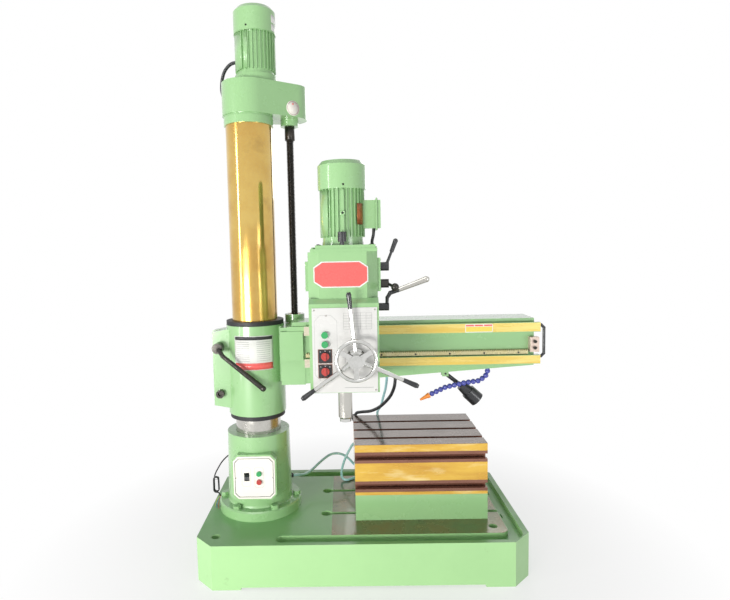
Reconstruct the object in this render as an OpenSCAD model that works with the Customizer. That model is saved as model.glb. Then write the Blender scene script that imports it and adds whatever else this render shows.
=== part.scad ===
// Radial arm drill: base with work table, swinging column, rising arm and traversing drill head.
// Millimetres. X runs out along the arm, -Y faces the operator, Z is up, and the origin is the
// middle of the base's outline on the floor.

/* [Base] */
// Length of the base along the arm
base_l = 1344; // [1320:1:1420]
// Width of the base
base_w = 742; // [720:1:820]
// Height of the base top above the floor
base_top = 182; // [170:1:200]
// Corner cut of the base outline
base_cut = 74; // [50:1:90]
// Height of the corner foot pads
pad_h = 10; // [6:1:16]
// Depth of the coolant channel
channel_d = 25; // [15:1:32]
// Diameter of the foundation bolt holes
found_d = 36; // [26:1:40]

/* [T-slots] */
// Width of a T-slot at its throat
slot_w = 22; // [18:1:24]
// Width of a T-slot at its foot
slot_t = 36; // [30:1:40]
// Height of the foot of a T-slot
slot_foot = 16; // [12:1:18]
// Depth of the throat of a T-slot
slot_throat = 20; // [16:1:24]

/* [Work table] */
// Length of the box table
table_l = 559; // [520:1:565]
// Width of the box table
table_w = 420; // [380:1:425]
// Height of the box table
table_h = 329; // [300:1:335]

/* [Column] */
// Outside diameter of the swinging column
column_d = 200; // [190:1:204]
// Wall of the swinging column
column_wall = 12; // [9:1:16]
// Diameter of the fixed inner column
core_d = 160; // [140:1:162]
// Height of the column foot's top above the floor
foot_top = 536; // [500:1:545]
// Height of the column's top above the floor
column_top = 1905; // [1895:1:1960]

/* [Arm] */
// Outer diameter of the arm's sleeve
sleeve_d = 254; // [246:1:262]
// Height of the sleeve casting
sleeve_h = 392; // [380:1:400]
// Reach of the arm's end from the column axis
arm_reach = 1203; // [1180:1:1240]
// Depth of the arm from front to back
arm_t = 150; // [130:1:170]
// Diameter of the lift screw
screw_d = 33; // [28:1:36]

/* [Drill head] */
// Width of the head's lower casting
head_w = 258; // [250:1:270]
// Diameter of the quill
quill_d = 56; // [52:1:60]
// Stroke of the quill
quill_stroke = 240; // [180:1:250]
// Diameter of the handwheel
wheel_d = 158; // [140:1:180]
// Radius of the feed lever tips
lever_r = 248; // [220:1:260]

/* [Fits] */
// Radial running fit of a shaft in its bore
run_fit = 0.05; // [0.03:0.01:0.09]
// Clear space left beside parts that pass each other
gap = 0.3; // [0.3:0.05:0.6]

/* [Hidden] */
$fn = 64;
eps = 0.01;

// Paint, ways and metal as they look on the machine
enamel = "#8fc785";
cream = "#e6e0bd";
oiled = "#a98a52";
steel = "#b9bbbd";
black = "#26282a";

// Column axis and the head's place along the arm
col_x = -453;
spin_x = -57;
spin_y = -290;
head_back = -140;

// Column and its foot
col_r = column_d / 2;
core_r = core_d / 2;
col_bore_r = col_r - column_wall;
flange_h = 42;
flange_r = 184;
foot_r = 143.5;
foot_r2 = 138;
foot_bolt_r = 165;
foot_bolts_n = 6;
foot_bolt_hole = 12.3;
recess_d = 10;
core_foot_z = base_top + 20;
core_top = column_top - 25;
bush_h = 40;
collar_h = 33;
collar_r = col_r + 6;

// Switch recess in the front of the foot
boss_y = -160;
boss_z = 369;
boss_w = 190;
boss_h = 200;
boss_cut = 24;
cover_w = 178;
cover_h = 186;
cover_cut = 20;
cover_t = 3;
pocket_w = 146;
pocket_h = 150;
pocket_d = 55;
rocker_at = [-485, 373];
rocker_w = 22;
rocker_h = 34;
button_r = 11;
start_at = [-432, 387];
stop_at = [-432, 351];

// Lift gearbox, turned to the rear of the arm, with the lift screw at its small end
screw_x = -283;
screw_y = 79;
screw_a = atan2(screw_y, screw_x - col_x);
screw_off = norm([screw_x - col_x, screw_y]);
box_z = column_top + 7;
box_h = 123;
lid_h = 16;
box_r = 111;
box_r2 = 78;
screw_r = screw_d / 2;
screw_bot = 780;
lift_x = -417;
lift_y = 17;
lift_z = box_z + box_h + lid_h;

// Arm and its guide ways
arm_z0 = 622;
arm_end = col_x + arm_reach;
arm_y0 = -110;
arm_y1 = arm_y0 + arm_t;
arm_top = 1028;
way_y = -140;
way_x0 = -226;
way_x1 = arm_end + 18;
way_hi = 1013;
way_hi_b = 973;
way_lo = 837;
way_lo_t = 874;
groove = 12;
groove_h = 10;
root_x0 = -330;
root_z0 = 758;
root_z1 = 1010;
nut_boss_top = 1045;
nut_r = 30;
ear_x = -603;
lever_z = 920;
lower_bolt_z = 715;
clamp_r = 12;

// Feed and traverse gears on one axis
mod_t = 2.5;
teeth_t = 30;
rack_pitch_z = 894;
wheel_x = -14;
wheel_z = rack_pitch_z + mod_t * teeth_t / 2;
rack_t = 18;
rack_x0 = -226;
mod_f = 2;
teeth_f = 18;
quill_pitch_x = wheel_x - mod_f * teeth_f / 2;
feed_r = 14;
shaft_r = 8;
backlash = 0.12;

// Drill head
head_x0 = -185;
head_x1 = head_x0 + head_w;
head_y0 = -427;
head_z0 = 802;
head_z1 = 1135;
case_z0 = 1153;
case_z1 = 1325;
case_x0 = -188;
case_x1 = 74;
case_y0 = -405;
case_cut = 42;
lid_z = 1350;
quill_r = quill_d / 2;
quill_z0 = 665;
quill_z1 = 1210;
spindle_r = 17;
motor_x = -54;
panel_y = -430;

// Gear outline with involute flanks, one polygon
function inv(a) = tan(a) * 180 / PI - a;
function psi(m, z, r) =
    90 / z + inv(20) - (r > m * z * cos(20) / 2 ? inv(acos(m * z * cos(20) / 2 / r)) : 0)
    - backlash * 180 / PI / (m * z / 2);
function gear_radii(m, z) =
    [m * z / 2 - 1.25 * m, m * z / 2 - 0.5 * m, m * z / 2, m * z / 2 + 0.5 * m, m * z / 2 + m];
function gear_points(m, z) = [
    for (i = [0 : z - 1])
        for (s = [-1, 1])
            for (k = s < 0 ? [0 : 4] : [4 : -1 : 0])
                let (r = gear_radii(m, z)[k], a = 360 / z * i + s * psi(m, z, r))
                    r * [cos(a), sin(a)]
];

// Straight rack with its teeth up, pitch line on y = 0, first tooth centred on x = 0
module rack_2d(m, n, depth) {
    p = PI * m;
    half = p / 4 - backlash;
    polygon([
        [-p / 2, -depth],
        for (i = [0 : n - 1])
            for (c = [[-1, -1.25], [-1, 1], [1, 1], [1, -1.25]])
                [i * p + c[0] * (half - c[1] * m * tan(20)), c[1] * m],
        [(n - 1) * p + p / 2, -depth]
    ]);
}

// Rectangle with its four corners cut
module cut_rect(w, h, c) {
    polygon([
        [-w / 2 + c, -h / 2], [w / 2 - c, -h / 2], [w / 2, -h / 2 + c], [w / 2, h / 2 - c],
        [w / 2 - c, h / 2], [-w / 2 + c, h / 2], [-w / 2, h / 2 - c], [-w / 2, -h / 2 + c]
    ]);
}

// Cylinder along +Y or -Y from a front plane
module rod_y(x, y, z, r, len) {
    translate([x, y, z]) rotate([-90, 0, 0]) cylinder(r = r, h = len);
}

// Hexagon bolt head, standing on z = 0
module hex_head(af, h) {
    cylinder(d = af / cos(30), h = h, $fn = 6);
}

// T-slot cutter along X, its mouth at z = 0
module t_slot(len) {
    translate([0, -slot_w / 2, -slot_throat - 1]) cube([len, slot_w, slot_throat + 2]);
    translate([0, -slot_t / 2, -slot_throat - slot_foot]) cube([len, slot_t, slot_foot]);
}

// Tube swept along points by rings square to the path
function unit(v) = v / norm(v);
function tangent(p, i) = unit(p[min(i + 1, len(p) - 1)] - p[max(i - 1, 0)]);
function side_of(t) = abs(t.z) > 0.95 ? unit(cross(t, [1, 0, 0])) : unit(cross(t, [0, 0, 1]));
function carried(n, t) = unit(n - (n * t) * t);
function normals(p, i = 0, acc = []) =
    i == len(p) ? acc
    : normals(p, i + 1, concat(acc, [i == 0 ? side_of(tangent(p, 0)) : carried(acc[i - 1], tangent(p, i))]));
function ring(c, n, b, r, sides) =
    [for (k = [0 : sides - 1]) c + r * (cos(360 * k / sides) * n + sin(360 * k / sides) * b)];
module sweep(p, r, sides) {
    ns = normals(p);
    pts = [for (i = [0 : len(p) - 1]) each ring(p[i], ns[i], cross(tangent(p, i), ns[i]), r, sides)];
    last = (len(p) - 1) * sides;
    faces = concat(
        [[for (k = [sides - 1 : -1 : 0]) k]],
        [for (i = [0 : len(p) - 2]) for (k = [0 : sides - 1]) each
            let (a = i * sides + k, b = i * sides + (k + 1) % sides)
                [[a, b, b + sides], [a, b + sides, a + sides]]],
        [[for (k = [0 : sides - 1]) last + k]]
    );
    polyhedron(points = pts, faces = [for (f = faces) [for (k = [len(f) - 1 : -1 : 0]) f[k]]]);
}

// Smooth path through hand-placed points
function curve_at(a, b, c, d, t) =
    0.5 * ((2 * b) + (c - a) * t + (2 * a - 5 * b + 4 * c - d) * t * t
    + (3 * b - a - 3 * c + d) * t * t * t);
function smooth(p, steps) = concat(
    [for (i = [0 : len(p) - 2]) for (s = [0 : steps - 1])
        curve_at(p[max(i - 1, 0)], p[i], p[i + 1], p[min(i + 2, len(p) - 1)], s / steps)],
    [p[len(p) - 1]]
);

// Supply cable, its tied hank and its bare cores
cable_r = 3;
supply_route = [
    [-585, 76, 390], [-594, 81, 389], [-606, 80, 384], [-625, 68, 371], [-642, 56, 354],
    [-656, 46, 332], [-668, 38, 310], [-673, 34, 292], [-674, 33, 276], [-674, 33, 262]
];
hank_turns = 3;
hank_w = 22;
hank_h = 70;
hank_pitch = 7;
hank_at = [-663, 33, 262];
hank_tail = [[-655, 17, 226.4], [-649, 16.6, 223], [-646, 16.2, 217], [-645, 16, 211]];
core_r0 = 1.2;
core_routes = [
    [[-643.6, 16.8, 210.6], [-645, 9, 203], [-647, -2, 194], [-646, -20, 186], [-641, -38, 183.4],
        [-636, -54, 183.4]],
    [[-646.4, 16.8, 210.6], [-650, 8, 202], [-654, -6, 192], [-654, -20, 185], [-651, -32, 183.4],
        [-647, -44, 183.4]],
    [[-645, 14.4, 210.6], [-654, 10, 203], [-660, 2, 193], [-661, -8, 185.6], [-660, -18, 183.4],
        [-657, -28, 183.4]]
];

// Coolant hose and conduit, each in a stretch on the base and a stretch on the arm
hose_r = 6;
conduit_r = 7.5;
hose_low_route = [
    [-308, 53, 288], [-297, 58, 287], [-280, 75, 281], [-256, 115, 268], [-228, 160, 268],
    [-197, 200, 283], [-166, 235, 297], [-136, 255, 308], [-103, 265, 309], [-72, 270, 298],
    [-46, 275, 276], [-18, 280, 244], [8, 286, 226], [36, 292, 232], [54, 298, 262],
    [54, 298, 306], [38, 294, 346], [10, 288, 364], [-22, 281, 351], [-45, 275, 317],
    [-66, 267, 277], [-80, 254, 238], [-84, 238, 208], [-76, 226, 192], [-58, 222, 188.4],
    [-38, 234, 188.4], [-14, 254, 188.4], [10, 264, 188.4], [40, 278, 196], [74, 280, 226], [94, 268, 280],
    [101, 256, 340], [102, 256, 400], [101, 256, 440], [101, 256, 472], [101, 256, 505]
];
hose_up_route = [
    [101, 256, 505.4], [101, 256, 508], [101, 256, 511], [101, 254.5, 520], [106, 238, 539],
    [114, 172, 577], [121, 112, 635],
    [127, 52, 687], [130, 14, 730], [131, -4, 762], [131, -5, 784.3]
];
conduit_low_route = [
    [-18, 262, 503], [-24, 270, 499], [-22, 276, 486], [-12, 274, 462], [-2, 264, 430], [2, 256, 390],
    [4, 252, 340], [14, 252, 290], [36, 253, 246], [56, 254, 218], [60, 254, 206], [60, 254, 196.3]
];
conduit_up_route = [
    [-17.4, 261.2, 503.6], [-12.5, 254.8, 507.2], [-8, 249.4, 512.6], [-1, 241, 524], [22, 213, 536],
    [66, 152, 559], [108, 92, 599],
    [144, 32, 656], [160, -10, 705], [165, -34, 745], [166, -40, 785]
];
lift_conduit_route = [
    [-510.5, 50.1, 2160], [-518, 51, 2160], [-532, 54, 2156], [-548, 57, 2144], [-562, 60, 2126],
    [-572, 62, 2100], [-577, 63, 2070], [-577, 63, 2044], [-572, 61, 2022], [-565, 59, 2009],
    [-553, 54, 2002]
];
motor_cable_route = [
    [66, -290, 1411.8], [66, -290, 1402], [64.5, -290, 1386], [60, -290, 1368], [59, -290, 1358],
    [59, -290, 1350.3]
];

// Outline of the base seen from above
module base_outline(c = 0) {
    cut_rect(base_l - 2 * c, base_w - 2 * c, base_cut);
}

// Three-sided coolant channel seen from above
chan_x0 = -321;
chan_x0_rear = -290;
chan_x1 = 648;
chan_y0 = -350;
chan_y1 = 340;
chan_wf = 52;
chan_wr = 50;
chan_wb = 55;
module corner_rect(x0, y0, x1, y1, r) {
    translate([x0, y0]) square([x1 - x0 - r, y1 - y0]);
    translate([x0, y0 + r]) square([x1 - x0, y1 - y0 - 2 * r]);
    translate([x1 - r, y0 + r]) circle(r = r);
    translate([x1 - r, y1 - r]) circle(r = r);
}
module channel_2d() {
    difference() {
        corner_rect(chan_x0_rear, chan_y0, chan_x1, chan_y1, 60);
        corner_rect(chan_x0_rear - 100, chan_y0 + chan_wf, chan_x1 - chan_wr, chan_y1 - chan_wb, 40);
    }
    translate([chan_x0, chan_y0]) square([chan_x0_rear - chan_x0 + 1, chan_wf]);
    translate([chan_x0, chan_y0 + chan_wf / 2]) circle(d = chan_wf);
    translate([chan_x0_rear, chan_y1 - chan_wb / 2]) circle(d = chan_wb);
}

base_slots_y = [-112, 114];
base_slot_x0 = -150;
found_left = [-593, 298];
found_right = [543, 243];
strainer_at = [592, -311];
module base_casting() {
    rib_x = [-520, -320, -120, 80, 280];
    rib_y = [-330, -110, 130];
    color(enamel) difference() {
        union() {
            translate([0, 0, pad_h]) linear_extrude(base_top - pad_h) base_outline();
            linear_extrude(pad_h + eps) intersection() {
                base_outline();
                for (sx = [-1, 1], sy = [-1, 1])
                    translate([sx * (base_l / 2 - base_cut - 20), sy * (base_w / 2 - base_cut + 8)])
                        square([189, 150], center = true);
            }
        }
        translate([0, 0, base_top - channel_d]) linear_extrude(channel_d + 1) channel_2d();
        for (x = rib_x, y = rib_y) translate([x, y, -1]) cube([180, 200, 106]);
        for (y = base_slots_y) {
            translate([base_slot_x0, y, base_top]) t_slot(chan_x1 - chan_wr - base_slot_x0 + 20);
            translate([base_slot_x0, y, base_top - slot_throat - slot_foot])
                cylinder(r = 22.5, h = slot_throat + slot_foot + 1);
        }
        for (p = [found_left, found_right], s = [-1, 1])
            translate([p.x, s * p.y, -1]) cylinder(d = found_d, h = base_top + 2);
        for (i = [0 : foot_bolts_n - 1])
            translate([col_x, 0, 0]) rotate(60 * i) translate([foot_bolt_r, 0, base_top - 50])
                cylinder(r = foot_bolt_hole, h = 60);
        for (i = [0 : 6]) translate([strainer_at.x - 15 + 5 * i, strainer_at.y, base_top - channel_d - 8])
            cylinder(r = 1.8, h = 20, $fn = 24);
    }
}

// Box table bolted on the machined pad, slotted on top and in front
table_x0 = -22;
table_y1 = 240;
table_y0 = table_y1 - table_w;
module work_table() {
    top_slots_y = [131, 15, -98];
    front_slots_z = [273, 147];
    color(oiled) translate([table_x0, table_y0, base_top]) difference() {
        cube([table_l, table_w, table_h]);
        for (y = top_slots_y) translate([-1, y - table_y0, table_h]) t_slot(table_l + 2);
        for (z = front_slots_z) translate([-1, 0, z]) rotate([90, 0, 0]) t_slot(table_l + 2);
        translate([40, 80, -1]) cube([table_l - 80, table_w - 120, table_h - 139]);
    }
}

// Tapered foot that carries the fixed inner column, with the switch recess in front
module column_foot() {
    color(enamel) difference() {
        union() {
            translate([col_x, 0, base_top]) rotate_extrude() polygon([
                [0, 0], [flange_r, 0], [flange_r, flange_h - 6], [flange_r - 6, flange_h],
                [foot_r + 3, flange_h], [foot_r, flange_h + 8],
                [foot_r2, foot_top - base_top], [0, foot_top - base_top]
            ]);
            translate([col_x, boss_y, boss_z]) rotate([-90, 0, 0])
                linear_extrude(80) cut_rect(boss_w, boss_h, boss_cut);
        }
        translate([col_x, 0, core_foot_z]) cylinder(r = core_r + run_fit, h = foot_top);
        translate([col_x, 0, foot_top - recess_d]) cylinder(r = col_r + 1, h = recess_d + 1);
        translate([col_x - pocket_w / 2, boss_y - 1, boss_z - pocket_h / 2])
            cube([pocket_w, pocket_d + 1, pocket_h]);
        for (i = [0 : foot_bolts_n - 1])
            translate([col_x, 0, base_top - 1]) rotate(60 * i) translate([foot_bolt_r, 0, 0])
                cylinder(r = foot_bolt_hole, h = flange_h + 2);
        translate([col_x, 0, gland_z]) rotate(gland_a) rotate([0, 90, 0]) cylinder(r = 9, h = 200);
        translate([col_x, 0, hose_fit_z]) rotate(hose_fit_a) rotate([0, 90, 0]) cylinder(r = 9, h = 200);
    }
}

module foot_bolts() {
    shank = foot_bolt_hole - gap;
    color(steel) for (i = [0 : foot_bolts_n - 1])
        translate([col_x, 0, base_top + flange_h]) rotate(60 * i) translate([foot_bolt_r, 0, 0]) {
            cylinder(r = 18, h = 3);
            translate([0, 0, 3]) rotate(15 * i) hex_head(30, 13);
            translate([0, 0, -flange_h - 40]) cylinder(r = shank, h = flange_h + 40 + 1);
        }
}

module inner_column() {
    color(steel) translate([col_x, 0, core_foot_z]) difference() {
        cylinder(r = core_r, h = core_top - core_foot_z);
        translate([0, 0, 30]) cylinder(r = core_r - 20, h = core_top);
    }
}

// Plain bushes between the two columns, and the thrust washer that carries the turning parts
module column_bearings() {
    bush_z = [foot_top + 9, core_top - 80];
    color("#c6a15b") {
        for (z = bush_z) translate([col_x, 0, z]) difference() {
            cylinder(r = col_bore_r - run_fit, h = bush_h);
            translate([0, 0, -1]) cylinder(r = core_r + run_fit, h = bush_h + 2);
        }
        translate([col_x, 0, core_top]) difference() {
            cylinder(r = core_r, h = 16);
            translate([0, 0, -1]) cylinder(r = core_r - 20, h = 18);
        }
    }
}

// Cover plate over the switch recess, cut for the rocker and the two buttons
module switch_cover() {
    color(cream) translate([0, boss_y - cover_t, 0]) difference() {
        translate([col_x, 0, boss_z]) rotate([-90, 0, 0])
            linear_extrude(cover_t) cut_rect(cover_w, cover_h, cover_cut);
        translate([rocker_at.x - rocker_w / 2 - gap, -1, rocker_at.y - rocker_h / 2 - 1])
            cube([rocker_w + 2 * gap, cover_t + 2, rocker_h + 2]);
        for (p = [start_at, stop_at]) rod_y(p.x, -1, p.y, button_r + gap, cover_t + 2);
    }
}

// Rocker housing and button housings stand on the recess floor; the moving caps sit in them
module rocker_shell() {
    translate([rocker_at.x, boss_y, rocker_at.y]) difference() {
        translate([-rocker_w / 2 - 5, 0, -rocker_h / 2 - 5]) cube([rocker_w + 10, pocket_d, rocker_h + 10]);
        translate([-rocker_w / 2 - gap, -1, -rocker_h / 2 - 1]) cube([rocker_w + 2 * gap, 31, rocker_h + 2]);
    }
}
module button_shell(p) {
    difference() {
        rod_y(p.x, boss_y, p.y, button_r + 4, pocket_d);
        rod_y(p.x, boss_y - 1, p.y, button_r + run_fit, 26);
    }
}

// Cable gland, hose fitting and conduit gland, with the switch housings of the recess
gland_a = 150;
gland_z = 390;
hose_fit_a = 20;
hose_fit_z = 288;
conduit_foot = [60, 254];
module foot_glands() {
    color(black) {
        translate([col_x, 0, gland_z]) rotate(gland_a) translate([foot_r - 8, 0, 0]) rotate([0, 90, 0]) {
            cylinder(r = 8.7, h = 8);
            translate([0, 0, 6]) cylinder(d = 22, h = 10, $fn = 6);
        }
        translate([col_x, 0, hose_fit_z]) rotate(hose_fit_a)
            translate([foot_r - 12, 0, 0]) rotate([0, 90, 0]) {
            cylinder(r = 8.7, h = 14);
            translate([0, 0, 12.3]) cylinder(d = 22, h = 10, $fn = 6);
        }
        translate([conduit_foot.x, conduit_foot.y, base_top]) cylinder(r = conduit_r + 5, h = 14);
        rocker_shell();
        button_shell(start_at);
        button_shell(stop_at);
    }
}

// Rocker on a horizontal pivot
module mains_rocker() {
    color(black) translate([rocker_at.x, boss_y, rocker_at.y]) rotate([90, 0, 90])
        translate([0, 0, -rocker_w / 2]) linear_extrude(rocker_w)
            polygon([[-6, -13], [-2, 0], [-6, 13], [10, 15], [20, 6], [20, -6], [10, -15]]);
}

module push_button(p, colour) {
    color(colour) {
        rod_y(p.x, boss_y - cover_t - 8, p.y, button_r, 26);
        rod_y(p.x, boss_y - cover_t - 9, p.y, button_r - 1.5, 5);
    }
}
module start_button() { push_button(start_at, "#3f9c4a"); }
module stop_button() { push_button(stop_at, "#c23a2c"); }

// Cords
cable_steps = 3;
module supply_cable() {
    color(black) sweep(smooth(supply_route, cable_steps), cable_r, 8);
}
function hank_point(t) = hank_at + [
    (hank_w / 2) * -cos(360 * t),
    -hank_pitch * t,
    -(hank_h / 2) * sin(360 * t)
];
hank_path = concat([for (i = [0 : 24 * hank_turns - 18]) hank_point(i / 24)], hank_tail);
hank_gap = min([for (i = [0 : len(hank_path) - 1]) for (j = [i + 12 : 1 : len(hank_path) - 1])
    norm(hank_path[i] - hank_path[j])]) - 2 * cable_r;
echo(hank_self_gap = hank_gap);
module cable_hank() {
    color(black) sweep(hank_path, cable_r, 6);
}
module cable_cores() {
    core_colours = ["#b8382e", "#2f63b0", "#b9c23c"];
    for (i = [0 : 2]) color(core_colours[i]) sweep(smooth(core_routes[i], 2), core_r0, 6);
}
module hose_lower() { color("#7fb6cf") sweep(smooth(hose_low_route, 2), hose_r, 8); }
module hose_upper() { color("#7fb6cf") sweep(smooth(hose_up_route, 2), hose_r, 8); }
module conduit_lower() { color(black) sweep(smooth(conduit_low_route, 2), conduit_r, 8); }
module conduit_upper() { color(black) sweep(smooth(conduit_up_route, 2), conduit_r, 8); }
module lift_conduit() { color(black) sweep(smooth(lift_conduit_route, 2), 8, 8); }
module motor_cable() { color(black) sweep(smooth(motor_cable_route, 2), 6, 8); }

// Swinging column: tube, clamp collar and lift gearbox
col_bot = foot_top - recess_d + gap;
module outer_column() {
    color("#b99b57") translate([col_x, 0, col_bot]) difference() {
        cylinder(r = col_r, h = column_top - col_bot);
        translate([0, 0, -1]) cylinder(r = col_bore_r, h = column_top);
    }
}
module column_collar() {
    color(enamel) translate([col_x, 0, column_top - collar_h]) difference() {
        cylinder(r = collar_r, h = collar_h);
        translate([0, 0, -1]) cylinder(r = col_r + run_fit, h = collar_h + 2);
    }
}

// Outline round two circles and their common tangents, from the column axis to the screw axis
function arc(x, r, a0, a1, n) =
    [for (i = [0 : n]) let (a = a0 + (a1 - a0) * i / n) [x + r * cos(a), r * sin(a)]];
module link_2d(r1, r2) {
    a = acos((r1 - r2) / screw_off);
    polygon(concat(arc(0, r1, a, 360 - a, 48), arc(screw_off, r2, -a, a, 32)));
}
screw_top = box_z + 60;
coupling_h = 60;
screw_boss_h = 27;
module lift_gearbox() {
    color(enamel) translate([col_x, 0, box_z]) difference() {
        rotate(screw_a) union() {
            linear_extrude(box_h) link_2d(box_r, box_r2);
            translate([0, 0, column_top - box_z]) cylinder(r = col_r + 4, h = box_z - column_top + 1);
            translate([0, 0, core_top + 16 + gap - box_z])
                cylinder(r = col_bore_r - gap, h = box_z - core_top);
            translate([screw_off, 0, -screw_boss_h]) cylinder(r = 40, h = screw_boss_h + 1);
        }
        rotate(screw_a) translate([screw_off, 0, -screw_boss_h - 1])
            cylinder(r = screw_r + run_fit, h = screw_boss_h + 70);
        translate([lift_x - col_x, lift_y, 60]) cylinder(r = 34, h = box_h);
    }
}
module gearbox_lid() {
    color(enamel) translate([col_x, 0, box_z + box_h]) difference() {
        union() {
            rotate(screw_a) linear_extrude(lid_h) link_2d(box_r, box_r2);
            for (i = [0 : 5]) rotate(screw_a + 85 + 38 * i) translate([box_r - 16, 0, lid_h - 1])
                hex_head(13, 7);
            rotate(screw_a) for (s = [-1, 1]) translate([screw_off + 20, s * 52, lid_h - 1]) hex_head(13, 7);
        }
        translate([lift_x - col_x, lift_y, -1]) cylinder(r = 34, h = lid_h + 2);
    }
}

// Foot-mounted motor: flange, ribbed frame and end shields, bored for its rotor
module motor_frame(r, flange_r, shield_r, z_flange, z0, z1, fins) {
    difference() {
        union() {
            cylinder(r = flange_r, h = z_flange);
            translate([0, 0, z1 - 1]) cylinder(r = shield_r, h = 9);
            cylinder(r = r - 8, h = z1);
            translate([0, 0, z0]) for (i = [0 : fins - 1]) rotate(360 / fins * i)
                translate([r - 20, -1.6, 0]) cube([20, 3.2, z1 - z0]);
        }
        translate([0, 0, -1]) cylinder(r = 12 + run_fit, h = z1 + 12);
        translate([0, 0, z0 + 5]) cylinder(r = 46, h = z1 - z0 - 20);
    }
}
module fan_cowl(r, h) {
    difference() {
        rotate_extrude() polygon([
            [r - 3, 0], [r, 0], [r, h - 16], [r - 14, h], [20, h], [20, h - 3],
            [r - 15, h - 3], [r - 3, h - 17]
        ]);
        for (i = [0 : 11]) rotate(30 * i) translate([34, -3, h - 5]) cube([r - 62, 6, 8]);
    }
    translate([0, 0, h - 3]) cylinder(r = 21, h = 3);
}
module rotor(len, fan_z, core_z0, core_z1) {
    cylinder(r = 12, h = len);
    translate([0, 0, core_z0]) cylinder(r = 45, h = core_z1 - core_z0);
    translate([0, 0, fan_z]) cylinder(r = 22, h = 34);
    for (i = [0 : 5]) rotate(60 * i) translate([18, -1.5, fan_z]) cube([50, 3, 34]);
}
lift_frame_h = 206;
module lift_motor() {
    color(enamel) translate([lift_x, lift_y, lift_z]) {
        motor_frame(87, 90, 87 - gap, 33, 49, lift_frame_h, 32);
        translate([-92, 22, 90]) cube([26, 46, 50]);
    }
}
module lift_motor_cowl() {
    color(enamel) translate([lift_x, lift_y, lift_z + lift_frame_h]) fan_cowl(90, 108);
}
module lift_rotor() {
    color(steel) translate([lift_x, lift_y, lift_z - 60]) rotor(330, 60 + lift_frame_h + 30, 130, 235);
}

// Lift screw with its sleeve coupling under the gearbox
module lead_screw() {
    color("#3a3836") translate([screw_x, screw_y, 0]) {
        translate([0, 0, screw_bot]) cylinder(r = screw_r, h = screw_top - screw_bot);
        translate([0, 0, box_z - screw_boss_h - gap - coupling_h]) cylinder(r = screw_r + 6, h = coupling_h);
    }
}

// Tapered round bar between two points
module bar(a, b, r1, r2) {
    d = b - a;
    translate(a) rotate([0, acos(d.z / norm(d)), atan2(d.y, d.x)]) cylinder(r1 = r1, r2 = r2, h = norm(d));
}

// Underside of the arm, rising towards its end
function under(x) = 782 + 0.066 * (x - 85);

// Outline in X and Z, extruded from y0 back to y1
module plate_xz(points, y0, y1) {
    translate([0, y1, 0]) rotate([90, 0, 0]) linear_extrude(y1 - y0) polygon(points);
}

lamp_pivot = [382, 784];
lamp_y = -50;
hose_y = -97;
hose_top_x = 557;
module arm_casting() {
    slit = 4;
    color(enamel) difference() {
        union() {
            translate([col_x, 0, arm_z0]) cylinder(r = sleeve_d / 2, h = sleeve_h, $fn = 96);
            plate_xz([[-540, 645], [-632, 662], [-632, 985], [-540, 1003]], -70, -12);
            plate_xz([[-540, 640], [-644, 655], [-644, 985], [-540, 1003]], -12, 45);
            translate([-400, -60, root_z0 + 4]) cube([120, 170, root_z1 - root_z0 - 8]);
            translate([root_x0, -112, root_z0]) cube([way_x0 - root_x0, 237, root_z1 - root_z0 - 4]);
            translate([root_x0, -128, 866]) cube([way_x0 - root_x0 - 6, 80, 124]);
            translate([root_x0 + 30, -122, 980]) cube([way_x0 - root_x0 - 30, 200, root_z1 - 980]);
            plate_xz([[-280, under(-280)], [arm_end, under(arm_end)], [arm_end, arm_top], [-280, arm_top]],
                arm_y0, arm_y1);
            translate([way_x0, way_y, way_hi_b]) cube([way_x1 - way_x0, arm_y0 - way_y, way_hi - way_hi_b]);
            translate([way_x0, way_y, way_lo]) cube([way_x1 - way_x0, arm_y0 - way_y, way_lo_t - way_lo]);
            translate([screw_x, screw_y, root_z1 - 1]) cylinder(r = 45, h = nut_boss_top - root_z1 + 1);
            for (s = [-1, 1]) translate([lamp_pivot.x - 14, lamp_y + s * 13 - 2.5, lamp_pivot.y - 12])
                cube([28, 5, 40]);
        }
        translate([col_x, 0, arm_z0 - 1]) cylinder(r = col_r + run_fit, h = sleeve_h + 2);
        translate([-700, -12 - slit / 2, arm_z0 - 1]) cube([160, slit, sleeve_h + 2]);
        for (z = [lever_z, lower_bolt_z]) rod_y(ear_x, -100, z, clamp_r, 200);
        translate([screw_x, screw_y, nut_boss_top - 47]) cylinder(r = nut_r + run_fit, h = 48);
        translate([screw_x, screw_y, 600]) cylinder(r = screw_r + 1.5, h = 400);
        translate([way_x0 - 1, arm_y0 - groove, way_hi - groove_h])
            cube([way_x1 - way_x0 + 2, groove, groove_h + 1]);
        translate([way_x0 - 1, arm_y0 - groove, way_lo - 1])
            cube([way_x1 - way_x0 + 2, groove, groove_h + 1]);
        rod_y(lamp_pivot.x, lamp_y - 20, lamp_pivot.y, 4 + run_fit, 40);
    }
}
module sleeve_rings() {
    color(black) for (ring = [[arm_z0 + sleeve_h, 18, 126], [arm_z0 - 20, 20, 121.5]])
        translate([col_x, 0, ring[0]]) difference() {
            cylinder(r = ring[2], h = ring[1]);
            translate([0, 0, -1]) cylinder(r = col_r + gap, h = ring[1] + 2);
        }
}
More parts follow.
